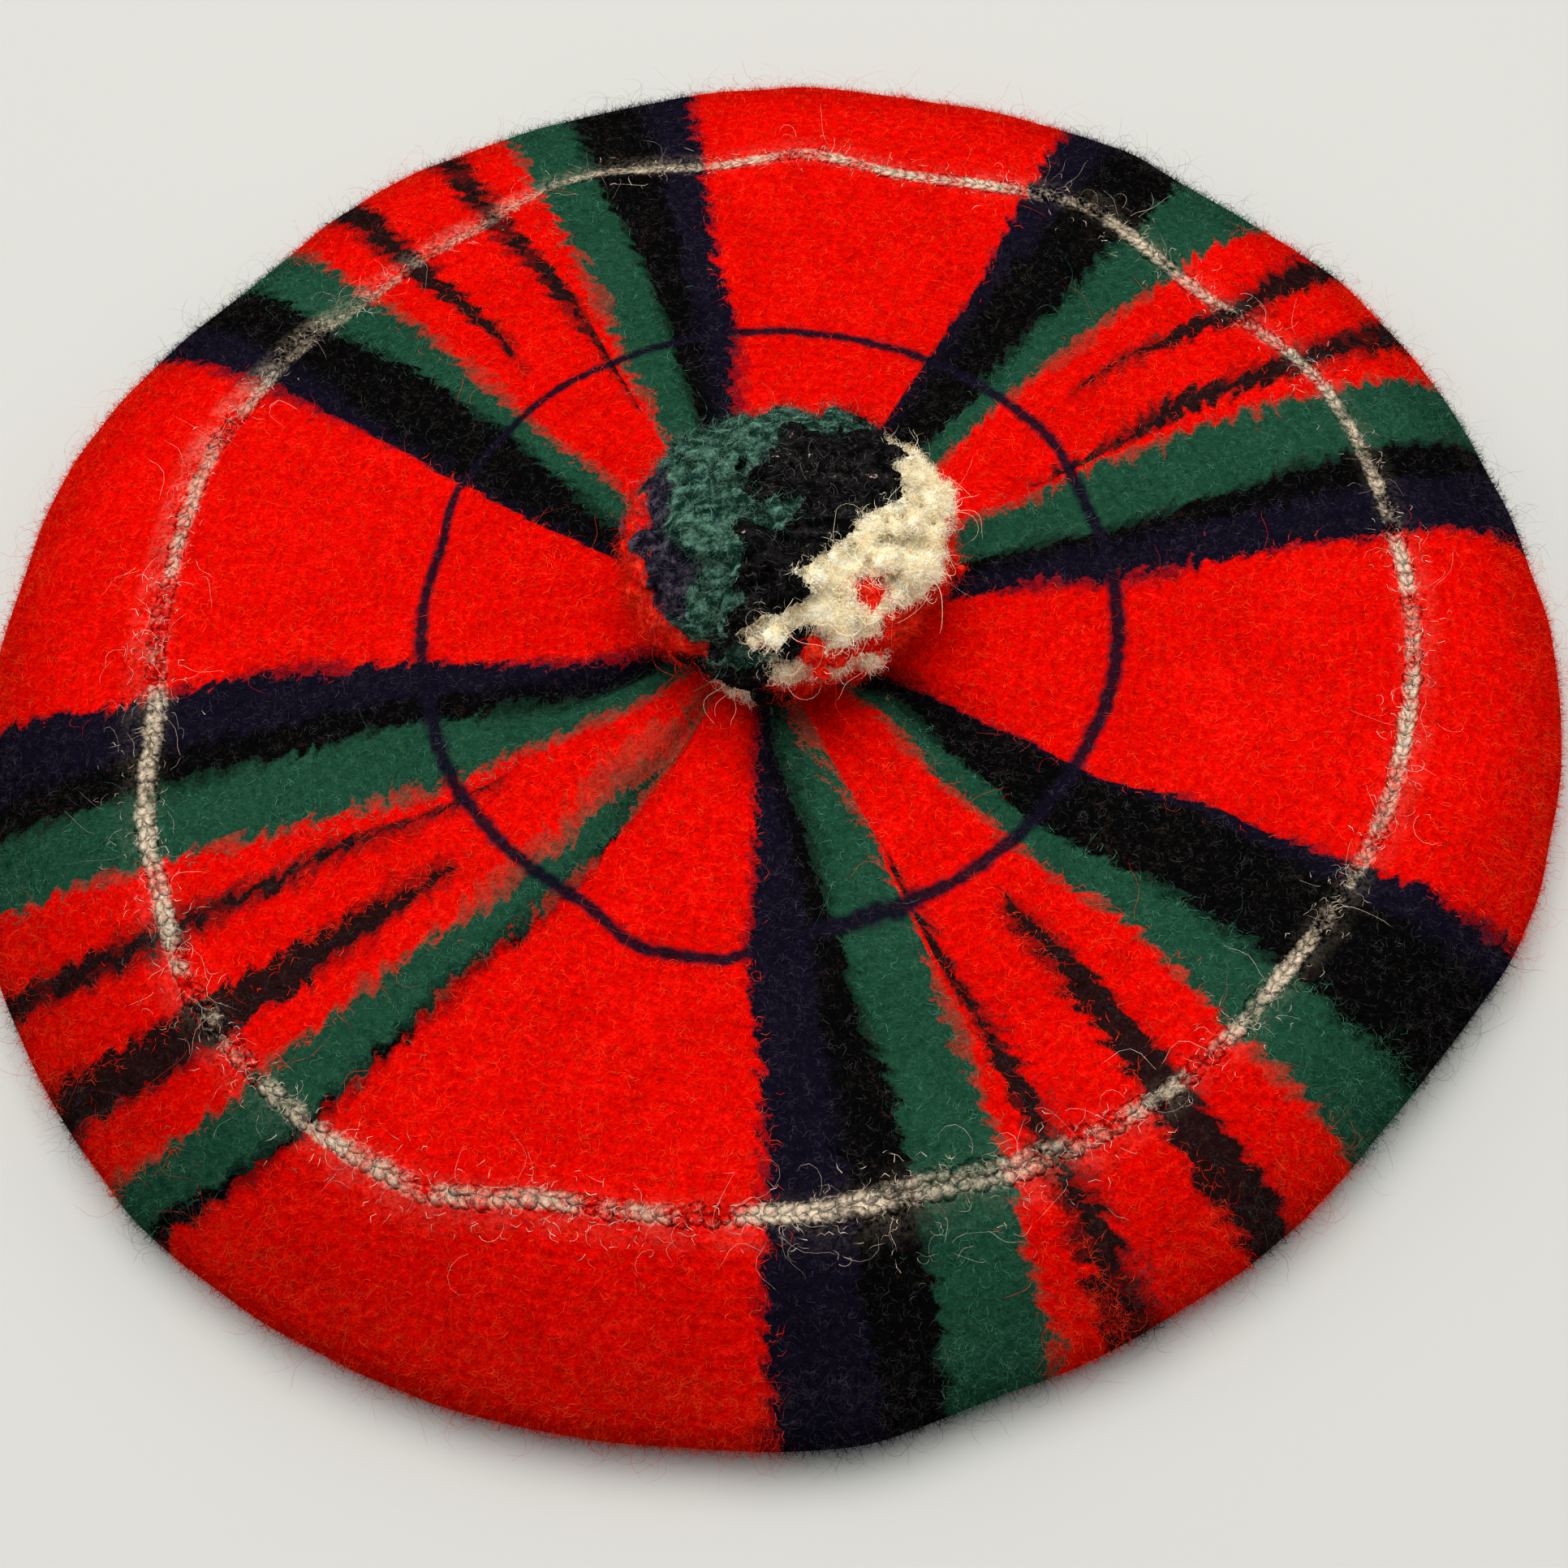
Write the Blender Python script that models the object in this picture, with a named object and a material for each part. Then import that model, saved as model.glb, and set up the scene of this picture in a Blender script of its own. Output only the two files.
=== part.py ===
"""Tam o' shanter: a flat round cap of milled wool, lying on its underside.

The crown is one hollow piece of felted knitting, gathered at its middle. A doubled headband is turned
up inside its opening, and a tufted pompom sits on the gathers. Metres, +Z up, origin on the floor at
the middle of the cap's outline.
"""
import math
from collections import namedtuple

import bmesh
import bpy
from mathutils import Matrix, Vector

# Sizes of the crown
CROWN_RADIUS = 0.135
CROWN_HEIGHT = 0.0201
WALL = 0.0025
RIM_OVERHANG = 0.010
AROUND = 90

# Sizes of the headband, its room under the crown's top, and the gap that neighbouring pieces keep
HEAD_RADIUS = 0.082
BAND_THICKNESS = 0.003
BAND_HEADROOM = 0.0045
BAND_ROUNDING = 0.0011
BAND_AROUND = 56
GAP = 0.0003

# Sizes of the pompom, how far it presses into the gathers, and how far it leans from their middle
POMPOM_WIDTH = 0.053
POMPOM_DEPTH = 0.048
POMPOM_HEIGHT = 0.035
POMPOM_SINK = 0.002
POMPOM_LEAN = (0.0055, 0.003)
LOCK_GRAIN = 0.0025
SEAT_REACH = 0.45
SEAT_AROUND = 48

# Colours of the wool
RED = (0.80, 0.008, 0.004)
NAVY = (0.012, 0.012, 0.024)
BLACK_GREEN = (0.012, 0.016, 0.014)

MERGE = 1e-6

# The crown's outer surface from its middle to the floor: reach is a share of the crown's radius, and
# height a share of its height
Section = namedtuple("Section", "reach height")
TOP = (
    Section(0.000, 0.90),
    Section(0.060, 0.91),
    Section(0.110, 0.94),
    Section(0.160, 0.97),
    Section(0.220, 1.00),
    Section(0.300, 1.00),
    Section(0.400, 0.99),
    Section(0.540, 0.98),
    Section(0.680, 0.99),
    Section(0.790, 1.00),
    Section(0.860, 0.98),
    Section(0.910, 0.92),
    Section(0.950, 0.81),
    Section(0.978, 0.68),
    Section(0.994, 0.54),
    Section(1.000, 0.40),
    Section(0.994, 0.24),
    Section(0.978, 0.12),
    Section(0.956, 0.04),
)

# The flat underside, as shares of the way from the head opening to the edge of the flat
UNDERSIDE = (1.0, 0.6, 0.25, 0.0)

# The outline seen from above: azimuth in degrees clockwise from +Y, share of the crown's radius
Edge = namedtuple("Edge", "azimuth share")
OUTLINE = (
    Edge(6, 1.011),
    Edge(20, 1.000),
    Edge(35, 1.006),
    Edge(47, 0.989),
    Edge(60, 1.000),
    Edge(81, 0.993),
    Edge(100, 1.000),
    Edge(116, 0.994),
    Edge(136, 0.965),
    Edge(152, 0.976),
    Edge(168, 0.988),
    Edge(180, 1.012),
    Edge(191, 1.010),
    Edge(208, 1.020),
    Edge(228, 1.028),
    Edge(246, 1.020),
    Edge(264, 1.004),
    Edge(282, 1.000),
    Edge(293, 1.007),
    Edge(315, 0.985),
    Edge(335, 1.003),
    Edge(350, 1.003),
)

# The gathers round the pompom and the lapped seam: azimuth and half width in degrees, depth as a share
# of the crown's height, and how far out each one runs as a share of the crown's radius
Gather = namedtuple("Gather", "azimuth half_width depth reach")
GATHERS = (
    Gather(18, 9, 0.09, 0.34),
    Gather(52, 9, 0.11, 0.38),
    Gather(88, 9, 0.13, 0.40),
    Gather(124, 8, 0.16, 0.42),
    Gather(157, 7, 0.13, 0.36),
    Gather(186, 8, 0.10, 0.34),
    Gather(214, 6, 0.14, 0.62),
    Gather(251, 8, 0.16, 0.42),
    Gather(286, 9, 0.09, 0.34),
    Gather(320, 9, 0.11, 0.38),
    Gather(347, 8, 0.09, 0.34),
)
GATHER_FROM = 0.07
GATHER_FULL = 0.20

# The broad swells of the top between the gathers and the rim: depth as a share of the crown's height
Swell = namedtuple("Swell", "azimuth half_width depth middle half_length")
SWELLS = (
    Swell(30, 40, 0.05, 0.58, 0.26),
    Swell(104, 30, 0.06, 0.60, 0.24),
    Swell(172, 26, 0.07, 0.62, 0.26),
    Swell(236, 26, 0.06, 0.60, 0.26),
    Swell(300, 34, 0.06, 0.58, 0.26),
)

# The pompom's locks, in rings: elevation and turn in degrees, reach as a share of its half sizes
LockRing = namedtuple("LockRing", "elevation count turn reach")
LOCK_RINGS = (
    LockRing(-72, 5, 10, 1.04),
    LockRing(-34, 10, 0, 1.00),
    LockRing(-4, 13, 14, 1.04),
    LockRing(28, 11, 0, 1.04),
    LockRing(58, 7, 20, 1.00),
    LockRing(90, 1, 0, 0.98),
)
HANGING_LOCK = LockRing(-30, 1, 196, 1.12)
CORE_SHARE = 0.84
LOCK_SHARE = 0.27
LOCK_STRETCH = 1.25


def smooth(share):
    """Ease from 0 to 1, flat at both ends."""
    share = min(max(share, 0.0), 1.0)
    return share * share * (3.0 - 2.0 * share)


def turn_between(azimuth, other):
    """Degrees between two azimuths, the short way round."""
    return abs((azimuth - other + 180.0) % 360.0 - 180.0)


def hump(distance, half_width):
    """A smooth hump that is 1 in its middle and 0 past its half width."""
    return smooth(1.0 - distance / half_width)


def outline_share(azimuth):
    """The outline's share of the crown's radius, eased from one row of its table to the next."""
    following = OUTLINE[1:] + OUTLINE[:1]
    for row, after in zip(OUTLINE, following):
        span = (after.azimuth - row.azimuth) % 360.0
        along = (azimuth - row.azimuth) % 360.0
        if along < span:
            return row.share + (after.share - row.share) * smooth(along / span)
    return OUTLINE[0].share


def gather_depth(azimuth, reach):
    """How far the gathers and the seam press the top down here, as a share of its height."""
    depth = 0.0
    for row in GATHERS:
        rise = smooth((reach - GATHER_FROM) / (GATHER_FULL - GATHER_FROM))
        fade = smooth((row.reach - reach) / (row.reach - GATHER_FULL))
        depth += row.depth * rise * fade * hump(turn_between(azimuth, row.azimuth), row.half_width)
    return depth


def swell_depth(azimuth, reach):
    """How far the broad hollows between the swells lower the top here."""
    depth = 0.0
    for row in SWELLS:
        along = hump(abs(reach - row.middle), row.half_length)
        depth += row.depth * along * hump(turn_between(azimuth, row.azimuth), row.half_width)
    return depth


def direction(azimuth):
    """Unit vector on the floor for an azimuth in degrees clockwise from +Y."""
    angle = math.radians(azimuth)
    return Vector((math.sin(angle), math.cos(angle), 0.0))


def outline_middle():
    """Middle of the outline's box, from the middle of the gathers."""
    rim = [direction(360.0 * step / AROUND) for step in range(AROUND)]
    rim = [way * CROWN_RADIUS * outline_share(360.0 * step / AROUND) for step, way in enumerate(rim)]
    widths = [point.x for point in rim]
    depths = [point.y for point in rim]
    return Vector(((min(widths) + max(widths)) / 2.0, (min(depths) + max(depths)) / 2.0, 0.0))


def material(name, colour, roughness):
    """A Principled material of one colour."""
    made = bpy.data.materials.new(name)
    made.use_nodes = True
    shader = made.node_tree.nodes["Principled BSDF"]
    shader.inputs["Base Color"].default_value = (*colour, 1.0)
    shader.inputs["Roughness"].default_value = roughness
    shader.inputs["Metallic"].default_value = 0.0
    return made


def piece(name, bm, finish, parent, place):
    """Put a finished bmesh into the scene as a smooth-shaded object."""
    mesh = bpy.data.meshes.new(name)
    bm.to_mesh(mesh)
    bm.free()
    mesh.shade_smooth()
    obj = bpy.data.objects.new(name, mesh)
    bpy.context.scene.collection.objects.link(obj)
    if finish is not None:
        mesh.materials.append(finish)
    obj.parent = parent
    obj.location = place
    return obj


def spun(points, steps, closed):
    """Turn a section of (radius, height) points once round +Z."""
    bm = bmesh.new()
    verts = [bm.verts.new((0.0, radius, height)) for radius, height in points]
    ends = verts[1:] + verts[:1] if closed else verts[1:]
    edges = [bm.edges.new(pair) for pair in zip(verts, ends)]
    bmesh.ops.spin(
        bm, geom=verts + edges, cent=(0, 0, 0), axis=(0, 0, -1),
        angle=math.tau, steps=steps, use_merge=True,
    )
    bmesh.ops.remove_doubles(bm, verts=bm.verts, dist=MERGE)
    bmesh.ops.recalc_face_normals(bm, faces=bm.faces)
    return bm


def opening_radius():
    """Radius of the crown's edge round the headband."""
    return HEAD_RADIUS + BAND_THICKNESS + GAP


def crown_section():
    """Radius and height of the crown's outer surface, from its middle to the head opening."""
    opening = opening_radius()
    flat = CROWN_RADIUS - RIM_OVERHANG - opening
    points = [(row.reach * CROWN_RADIUS, row.height * CROWN_HEIGHT) for row in TOP]
    points += [(opening + flat * share, 0.0) for share in UNDERSIDE]
    return points


def build_crown(parent, place):
    """The felted shell: turned once round, pushed to its outline, gathered, then given its wall."""
    bm = spun(crown_section(), AROUND, closed=False)
    opening = opening_radius()
    for vert in bm.verts:
        radius = vert.co.xy.length
        azimuth = math.degrees(math.atan2(vert.co.x, vert.co.y)) % 360.0
        if vert.co.z > CROWN_HEIGHT / 2.0:
            reach = radius / CROWN_RADIUS
            vert.co.z -= CROWN_HEIGHT * (gather_depth(azimuth, reach) + swell_depth(azimuth, reach))
        push = smooth((radius - opening) / (CROWN_RADIUS - opening))
        vert.co.xy *= 1.0 + (outline_share(azimuth) - 1.0) * push
    finish = material("milled_wool", RED, 0.9)
    crown = piece("crown", bm, finish, parent, place)
    wall = crown.modifiers.new("wall", "SOLIDIFY")
    wall.thickness = WALL
    wall.offset = -1.0
    wall.use_even_offset = True
    return crown


def build_headband(parent, place):
    """The doubled band, standing in the head opening on the same floor as the crown."""
    inner = HEAD_RADIUS
    outer = HEAD_RADIUS + BAND_THICKNESS
    top = CROWN_HEIGHT - WALL - BAND_HEADROOM
    bm = spun(((inner, 0.0), (outer, 0.0), (outer, top), (inner, top)), BAND_AROUND, closed=True)
    finish = material("ribbed_wool", NAVY, 0.9)
    band = piece("headband", bm, finish, parent, place)
    rounding = band.modifiers.new("rounding", "BEVEL")
    rounding.width = BAND_ROUNDING
    rounding.segments = 2
    rounding.angle_limit = math.radians(40.0)
    return band


def add_lock(bm, ring, azimuth):
    """One rounded lock, lying along its own direction from the pompom's middle."""
    lift = math.radians(ring.elevation)
    outward = direction(azimuth) * math.cos(lift) + Vector((0.0, 0.0, math.sin(lift)))
    half_sizes = Vector((POMPOM_WIDTH, POMPOM_DEPTH, POMPOM_HEIGHT)) / 2.0
    radius = LOCK_SHARE * POMPOM_HEIGHT
    tip = outward * half_sizes * ring.reach
    middle = tip - tip.normalized() * radius * LOCK_STRETCH
    turned = outward.to_track_quat("Z", "Y").to_matrix().to_4x4()
    stretched = Matrix.Diagonal((1.0, 1.0, LOCK_STRETCH, 1.0))
    bmesh.ops.create_icosphere(
        bm, subdivisions=2, radius=radius, matrix=Matrix.Translation(middle) @ turned @ stretched,
    )


def build_seat_cutter(parent, place):
    """A guide solid with the crown's top as its upper face, raised by the gap."""
    rows = [row for row in TOP if row.reach < SEAT_REACH]
    points = [(row.reach * CROWN_RADIUS, (row.height - 1.0) * CROWN_HEIGHT + GAP) for row in rows]
    points += [(points[-1][0], -CROWN_HEIGHT), (0.0, -CROWN_HEIGHT)]
    cutter = piece("pompom_seat", spun(points, SEAT_AROUND, closed=False), None, parent, place)
    cutter.hide_render = True
    cutter.display_type = "WIRE"
    return cutter


def build_pompom(parent, place):
    """Locks fused to a core, trimmed to sit on the gathered middle of the crown."""
    middle = Vector((*POMPOM_LEAN, POMPOM_HEIGHT / 2.0 - POMPOM_SINK))
    bm = bmesh.new()
    core = Vector((POMPOM_WIDTH, POMPOM_DEPTH, POMPOM_HEIGHT)) * CORE_SHARE
    bmesh.ops.create_icosphere(bm, subdivisions=3, radius=0.5, matrix=Matrix.Diagonal((*core, 1.0)))
    for ring in LOCK_RINGS:
        for number in range(ring.count):
            add_lock(bm, ring, ring.turn + 360.0 * number / ring.count)
    add_lock(bm, HANGING_LOCK, HANGING_LOCK.turn)
    bmesh.ops.translate(bm, verts=bm.verts, vec=middle)
    finish = material("pompom_yarn", BLACK_GREEN, 0.95)
    pompom = piece("pompom", bm, finish, parent, place)
    fused = pompom.modifiers.new("fused", "REMESH")
    fused.mode = "VOXEL"
    fused.voxel_size = LOCK_GRAIN
    fused.use_smooth_shade = True
    trim = pompom.modifiers.new("trim", "BOOLEAN")
    trim.operation = "DIFFERENCE"
    trim.solver = "EXACT"
    trim.object = build_seat_cutter(parent, place)
    return pompom


def main():
    """Clear the scene, then build the cap on its underside."""
    for obj in list(bpy.data.objects):
        bpy.data.objects.remove(obj, do_unlink=True)
    tam = bpy.data.objects.new("tam", None)
    bpy.context.scene.collection.objects.link(tam)
    axis = -outline_middle()
    build_crown(tam, axis)
    build_headband(tam, axis)
    build_pompom(tam, axis + Vector((0.0, 0.0, CROWN_HEIGHT)))


main()
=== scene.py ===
"""Looks of the tam o' shanter: milled tartan wool, its knitted white ring, headband and pompom."""

import math
from collections import namedtuple

import bmesh
import bpy
import numpy as np
from mathutils import Matrix, Vector, noise
from mathutils.bvhtree import BVHTree


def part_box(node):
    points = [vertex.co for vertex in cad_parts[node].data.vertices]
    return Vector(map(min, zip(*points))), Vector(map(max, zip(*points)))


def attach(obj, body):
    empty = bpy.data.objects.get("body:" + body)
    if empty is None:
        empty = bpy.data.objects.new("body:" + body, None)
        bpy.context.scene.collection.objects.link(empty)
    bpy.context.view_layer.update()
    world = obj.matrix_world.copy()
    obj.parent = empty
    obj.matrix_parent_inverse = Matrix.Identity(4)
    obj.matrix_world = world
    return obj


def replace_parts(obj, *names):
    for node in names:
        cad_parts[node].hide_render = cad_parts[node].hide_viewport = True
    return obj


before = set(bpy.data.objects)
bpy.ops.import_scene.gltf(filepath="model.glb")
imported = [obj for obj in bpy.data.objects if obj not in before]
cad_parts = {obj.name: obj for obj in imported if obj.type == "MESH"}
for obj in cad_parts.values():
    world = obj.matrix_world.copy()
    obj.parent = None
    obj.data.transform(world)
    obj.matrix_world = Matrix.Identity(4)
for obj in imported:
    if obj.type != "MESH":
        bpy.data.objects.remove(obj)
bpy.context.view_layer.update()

MM = 0.001

# Sizes of the crown, as in the solid that it replaces, its steps round, and the radius at which the
# waves of its outline start
CROWN_RADIUS = 0.135
RIM_OVERHANG = 0.010
WALL = 0.0025
HEAD_GAP = 0.0003
AROUND = 400
OUTLINE_FROM = 0.0853

# The headband: its wall, rounded edges and ribs, and the steps round each rib
BAND_WALL = 0.003
BAND_EDGE = 0.0013
RIB_PITCH = 0.0043
RIB_DEPTH = 0.0005
RIB_STITCH = 0.0026
RIB_STEPS = 5

# The pompom, how far it leans from the middle of the gathers, the gap that joins it to them, its
# number of tufts, and the tuft that hangs at the front
POMPOM_WIDTH = 0.053
POMPOM_DEPTH = 0.048
POMPOM_HEIGHT = 0.035
POMPOM_LEAN = (0.0055, 0.003)
POMPOM_SEAT = 0.0003
TUFTS = 520
HANGING_TUFT_AZIMUTH = 191.0
HANGING_TUFT_DROP = 0.0055
HANGING_TUFT_SIZE = (0.0085, 0.0045, 0.0055)

# The camera that took the photograph: place from the crown's axis, angles in degrees, lens in mm
CAMERA_PLACE = Vector((0.0004, -0.2227, 0.3416))
CAMERA_PITCH = 59.43
CAMERA_YAW = 0.31
CAMERA_ROLL = -5.16
CAMERA_LENS = 52.94

# Wool colours, how dark the two sorts of line are, and the flecks of light in the felt
RED = (0.80, 0.0022, 0.0007)
GREEN = (0.013, 0.066, 0.036)
NAVY = (0.0062, 0.0050, 0.0125)
BLACK = (0.0024, 0.0024, 0.0024)
LINE_BLACK = (0.019, 0.006, 0.006)
CREAM = (0.88, 0.72, 0.52)
WOOLS = {"red": RED, "green": GREEN, "navy": NAVY, "black": BLACK}
LINE_DARKNESS = {"line": 1.0, "thin": 0.70}
FLECK = (0.9, 0.45, 0.3)


def table(kind, *rows):
    """Rows of plain values as rows with named columns."""
    return [kind(*row) for row in rows]


# The crown's outer surface from its middle to the floor, as shares of its radius and height
Section = namedtuple("Section", "reach height")
TOP = table(
    Section,
    (0.000, 0.90), (0.060, 0.91), (0.110, 0.94), (0.160, 0.97), (0.220, 1.00), (0.300, 1.00),
    (0.400, 0.99), (0.540, 0.98), (0.680, 0.99), (0.790, 1.00), (0.860, 0.98), (0.910, 0.92),
    (0.950, 0.81), (0.978, 0.68), (0.994, 0.54), (1.000, 0.40), (0.994, 0.24), (0.978, 0.12),
    (0.956, 0.04),
)

# The outline seen from above: azimuth in degrees clockwise from +Y, share of the crown's radius
Edge = namedtuple("Edge", "azimuth share")
OUTLINE = table(
    Edge,
    (6, 1.011), (20, 1.000), (35, 1.006), (47, 0.989), (60, 1.000), (81, 0.993), (100, 1.000),
    (116, 0.994), (136, 0.965), (152, 0.976), (168, 0.988), (180, 1.012), (191, 1.010),
    (208, 1.020), (228, 1.028), (246, 1.020), (264, 1.004), (282, 1.000), (293, 1.007),
    (315, 0.985), (335, 1.003), (350, 1.003),
)

# The gathers and the lapped seam, and the broad hollows of the top
Gather = namedtuple("Gather", "azimuth half_width depth reach")
GATHERS = table(
    Gather,
    (18, 9, 0.09, 0.34), (52, 9, 0.11, 0.38), (88, 9, 0.13, 0.40), (124, 8, 0.16, 0.42),
    (157, 7, 0.13, 0.36), (186, 8, 0.10, 0.34), (214, 6, 0.14, 0.62), (251, 8, 0.16, 0.42),
    (286, 9, 0.09, 0.34), (320, 9, 0.11, 0.38), (347, 8, 0.09, 0.34),
)
GATHER_FROM = 0.07
GATHER_FULL = 0.20
Swell = namedtuple("Swell", "azimuth half_width depth middle half_length")
SWELLS = table(
    Swell,
    (30, 40, 0.05, 0.58, 0.26), (104, 30, 0.06, 0.60, 0.24), (172, 26, 0.07, 0.62, 0.26),
    (236, 26, 0.06, 0.60, 0.26), (300, 34, 0.06, 0.58, 0.26),
)

# The near side's shoulder droops past the white ring: azimuth of its middle, half width, depth
Droop = namedtuple("Droop", "azimuth half_width depth")
DROOP = Droop(205, 85, 0.0045)
# Painted shade: how much the colour is darkened past the white ring on the drooping near side, and
# round the rim
DROOP_PAINTED_SHADE = 0.30
RIM_PAINTED_SHADE = 0.17

# The knitted repeat, as a chart. The tam is knitted sideways, so each row of stitches runs from
# the middle to the rim, and each wool starts at an azimuth that drifts with the distance from the
# middle. Short rows close up to nothing towards the middle: "line" and "thin" are lines of black.
CHART_REACHES = (0.2, 0.3, 0.45, 0.6, 0.8, 1.0)
Rows = namedtuple("Rows", "wool starts")
CHART = (
    Rows("red", (1, 1, 1, -1, -1.5, -1.5)),
    Rows("navy", (33, 33, 33, 33, 32, 31)),
    Rows("black", (33, 33, 33, 34, 35.5, 35)),
    Rows("green", (44, 44, 44, 43, 43, 43)),
    Rows("red", (49.5, 49.3, 47.5, 48, 50, 51)),
    Rows("line", (53.5, 53.5, 53.5, 53.7, 55.5, 55)),
    Rows("red", (53.5, 53.5, 53.5, 54.5, 58.5, 59)),
    Rows("thin", (65, 65.3, 65.3, 62.8, 64.6, 64.2)),
    Rows("red", (65, 65.3, 66.2, 65.8, 67, 67.4)),
    Rows("green", (65.3, 65.5, 66.4, 67, 70, 71.5)),
    Rows("black", (77, 77, 77.8, 77, 76, 78)),
    Rows("navy", (81, 81, 81, 81, 81, 81)),
    Rows("red", (86, 88, 89.8, 87, 87, 88)),
    Rows("navy", (121, 124, 126, 122.5, 122.3, 121.5)),
    Rows("black", (121, 124, 126, 123.5, 125, 125)),
    Rows("green", (133, 135.5, 136.8, 134, 134, 134)),
    Rows("red", (138.5, 142, 141.4, 140, 141.5, 141.5)),
    Rows("line", (149, 149, 149, 147, 147.5, 147.5)),
    Rows("red", (149, 149, 149, 149.5, 151, 151)),
    Rows("thin", (161, 160.4, 159.6, 157.8, 157.6, 157.6)),
    Rows("red", (161, 160.4, 161.6, 160.6, 160.4, 160.4)),
    Rows("green", (162, 160.5, 161.8, 162, 164.5, 166)),
    Rows("black", (176.5, 173, 173, 171.5, 171.5, 173)),
    Rows("navy", (181, 178, 177, 177, 177, 177)),
    Rows("red", (187, 185, 185.7, 184, 183.5, 183.5)),
    Rows("black", (213, 214, 214.5, 219, 220.6, 225.2)),
    Rows("green", (213, 214, 217, 220.7, 222, 227)),
    Rows("red", (213, 220, 222.2, 226, 227, 230)),
    Rows("line", (231, 231, 231, 231, 231.5, 234.5)),
    Rows("red", (231, 231, 231, 233.5, 235, 238)),
    Rows("thin", (233, 238, 239.4, 241.9, 241.7, 244.6)),
    Rows("red", (233, 238, 241.1, 244.6, 244.6, 246.9)),
    Rows("green", (233, 238, 241.2, 246, 249, 252)),
    Rows("black", (244, 249, 255, 256, 256, 258)),
    Rows("navy", (252, 257, 261, 261, 261, 261)),
    Rows("red", (260.5, 264, 268.5, 269.5, 267, 268)),
    Rows("navy", (303, 303.5, 305.5, 306.5, 304.5, 304)),
    Rows("black", (303, 303.5, 305.5, 307, 309, 309)),
    Rows("green", (313, 314.5, 317.5, 317, 314, 314)),
    Rows("red", (322, 323, 321, 321, 320, 319.5)),
    Rows("line", (327.5, 327.5, 327.5, 327.2, 324.5, 324)),
    Rows("red", (327.5, 327.5, 327.5, 328.2, 327.5, 327.5)),
    Rows("thin", (340, 340, 338.2, 336.8, 334.2, 334.2)),
    Rows("red", (340, 340, 340, 339.2, 336.4, 336.4)),
    Rows("green", (340, 340, 340, 341, 341, 341)),
    Rows("black", (349.5, 349.5, 349.5, 349.5, 347, 347)),
    Rows("navy", (353, 353, 353, 353, 353, 353)),
)
ROW_COLUMN = 4

# The stripes' edges, in mm: their steps, how far those drift, how far the edges wander and fray, and
# the distance from the middle within which they shift less; then the degrees in a radian
TOOTH = 4.6
TOOTH_DEPTH = 0.72
TOOTH_DRIFT = 14.0
EDGE_WANDER = 3.0
EDGE_RAG = 3.4
EDGE_FRAY = 3.6
SHIFT_FROM = 18.0
DEGREES = 57.3

# Sizes in metres of what varies over the felt, and the width of its ribs in mm
WANDER_SIZE = 0.011
RAG_SIZE = 0.0030
FRAY_SIZE = 0.0007
VEIL_SIZE = 0.014
DASH_SIZE = 0.0055
BLOTCH_SIZE = 0.0045
BARE_SIZE = 0.016
FELT_RIB = 1.75

# Where the white ring is worn and by how much, the strength of its halo of loose wool, and the
# felt's shade
WORN_AZIMUTH = 318.0
WORN_HALF_WIDTH = 62.0
WORN_SHARE = 0.55
HALO_SHARE = 0.06
WORN_HALO_SHARE = 0.16
FELT_SHADE = 0.88

# The two rings that one column of stitches makes: azimuth, reach and width as shares of the radius
Ring = namedtuple("Ring", "azimuth reach width")
WHITE_RING = table(
    Ring,
    (0, 0.785, 0.016), (10, 0.800, 0.020), (20, 0.782, 0.018), (40, 0.815, 0.022),
    (55, 0.790, 0.020), (70, 0.820, 0.018), (90, 0.810, 0.020), (110, 0.800, 0.020),
    (130, 0.793, 0.020), (150, 0.797, 0.022), (163, 0.788, 0.034), (172, 0.775, 0.034),
    (182, 0.777, 0.024), (200, 0.785, 0.022), (212, 0.820, 0.024), (222, 0.820, 0.020),
    (238, 0.812, 0.022), (250, 0.790, 0.022), (268, 0.758, 0.026), (280, 0.765, 0.020),
    (300, 0.785, 0.020), (310, 0.787, 0.018), (320, 0.780, 0.016), (333, 0.785, 0.014),
    (345, 0.812, 0.012),
)
NAVY_RING = table(
    Ring,
    (0, 0.475, 0.016), (30, 0.475, 0.018), (55, 0.470, 0.020), (75, 0.450, 0.020),
    (100, 0.446, 0.024), (125, 0.441, 0.022), (155, 0.440, 0.022), (165, 0.440, 0.036),
    (180, 0.442, 0.022), (190, 0.474, 0.020), (200, 0.475, 0.020), (215, 0.440, 0.020),
    (240, 0.434, 0.022), (260, 0.425, 0.024), (290, 0.430, 0.018), (305, 0.455, 0.014),
    (330, 0.470, 0.014),
)

# The white ring's stitches, and half their length and height
STITCH_PAIRS = 300
STITCH_HALF_LENGTH = 0.00175
STITCH_HALF_HEIGHT = 0.00009

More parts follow.
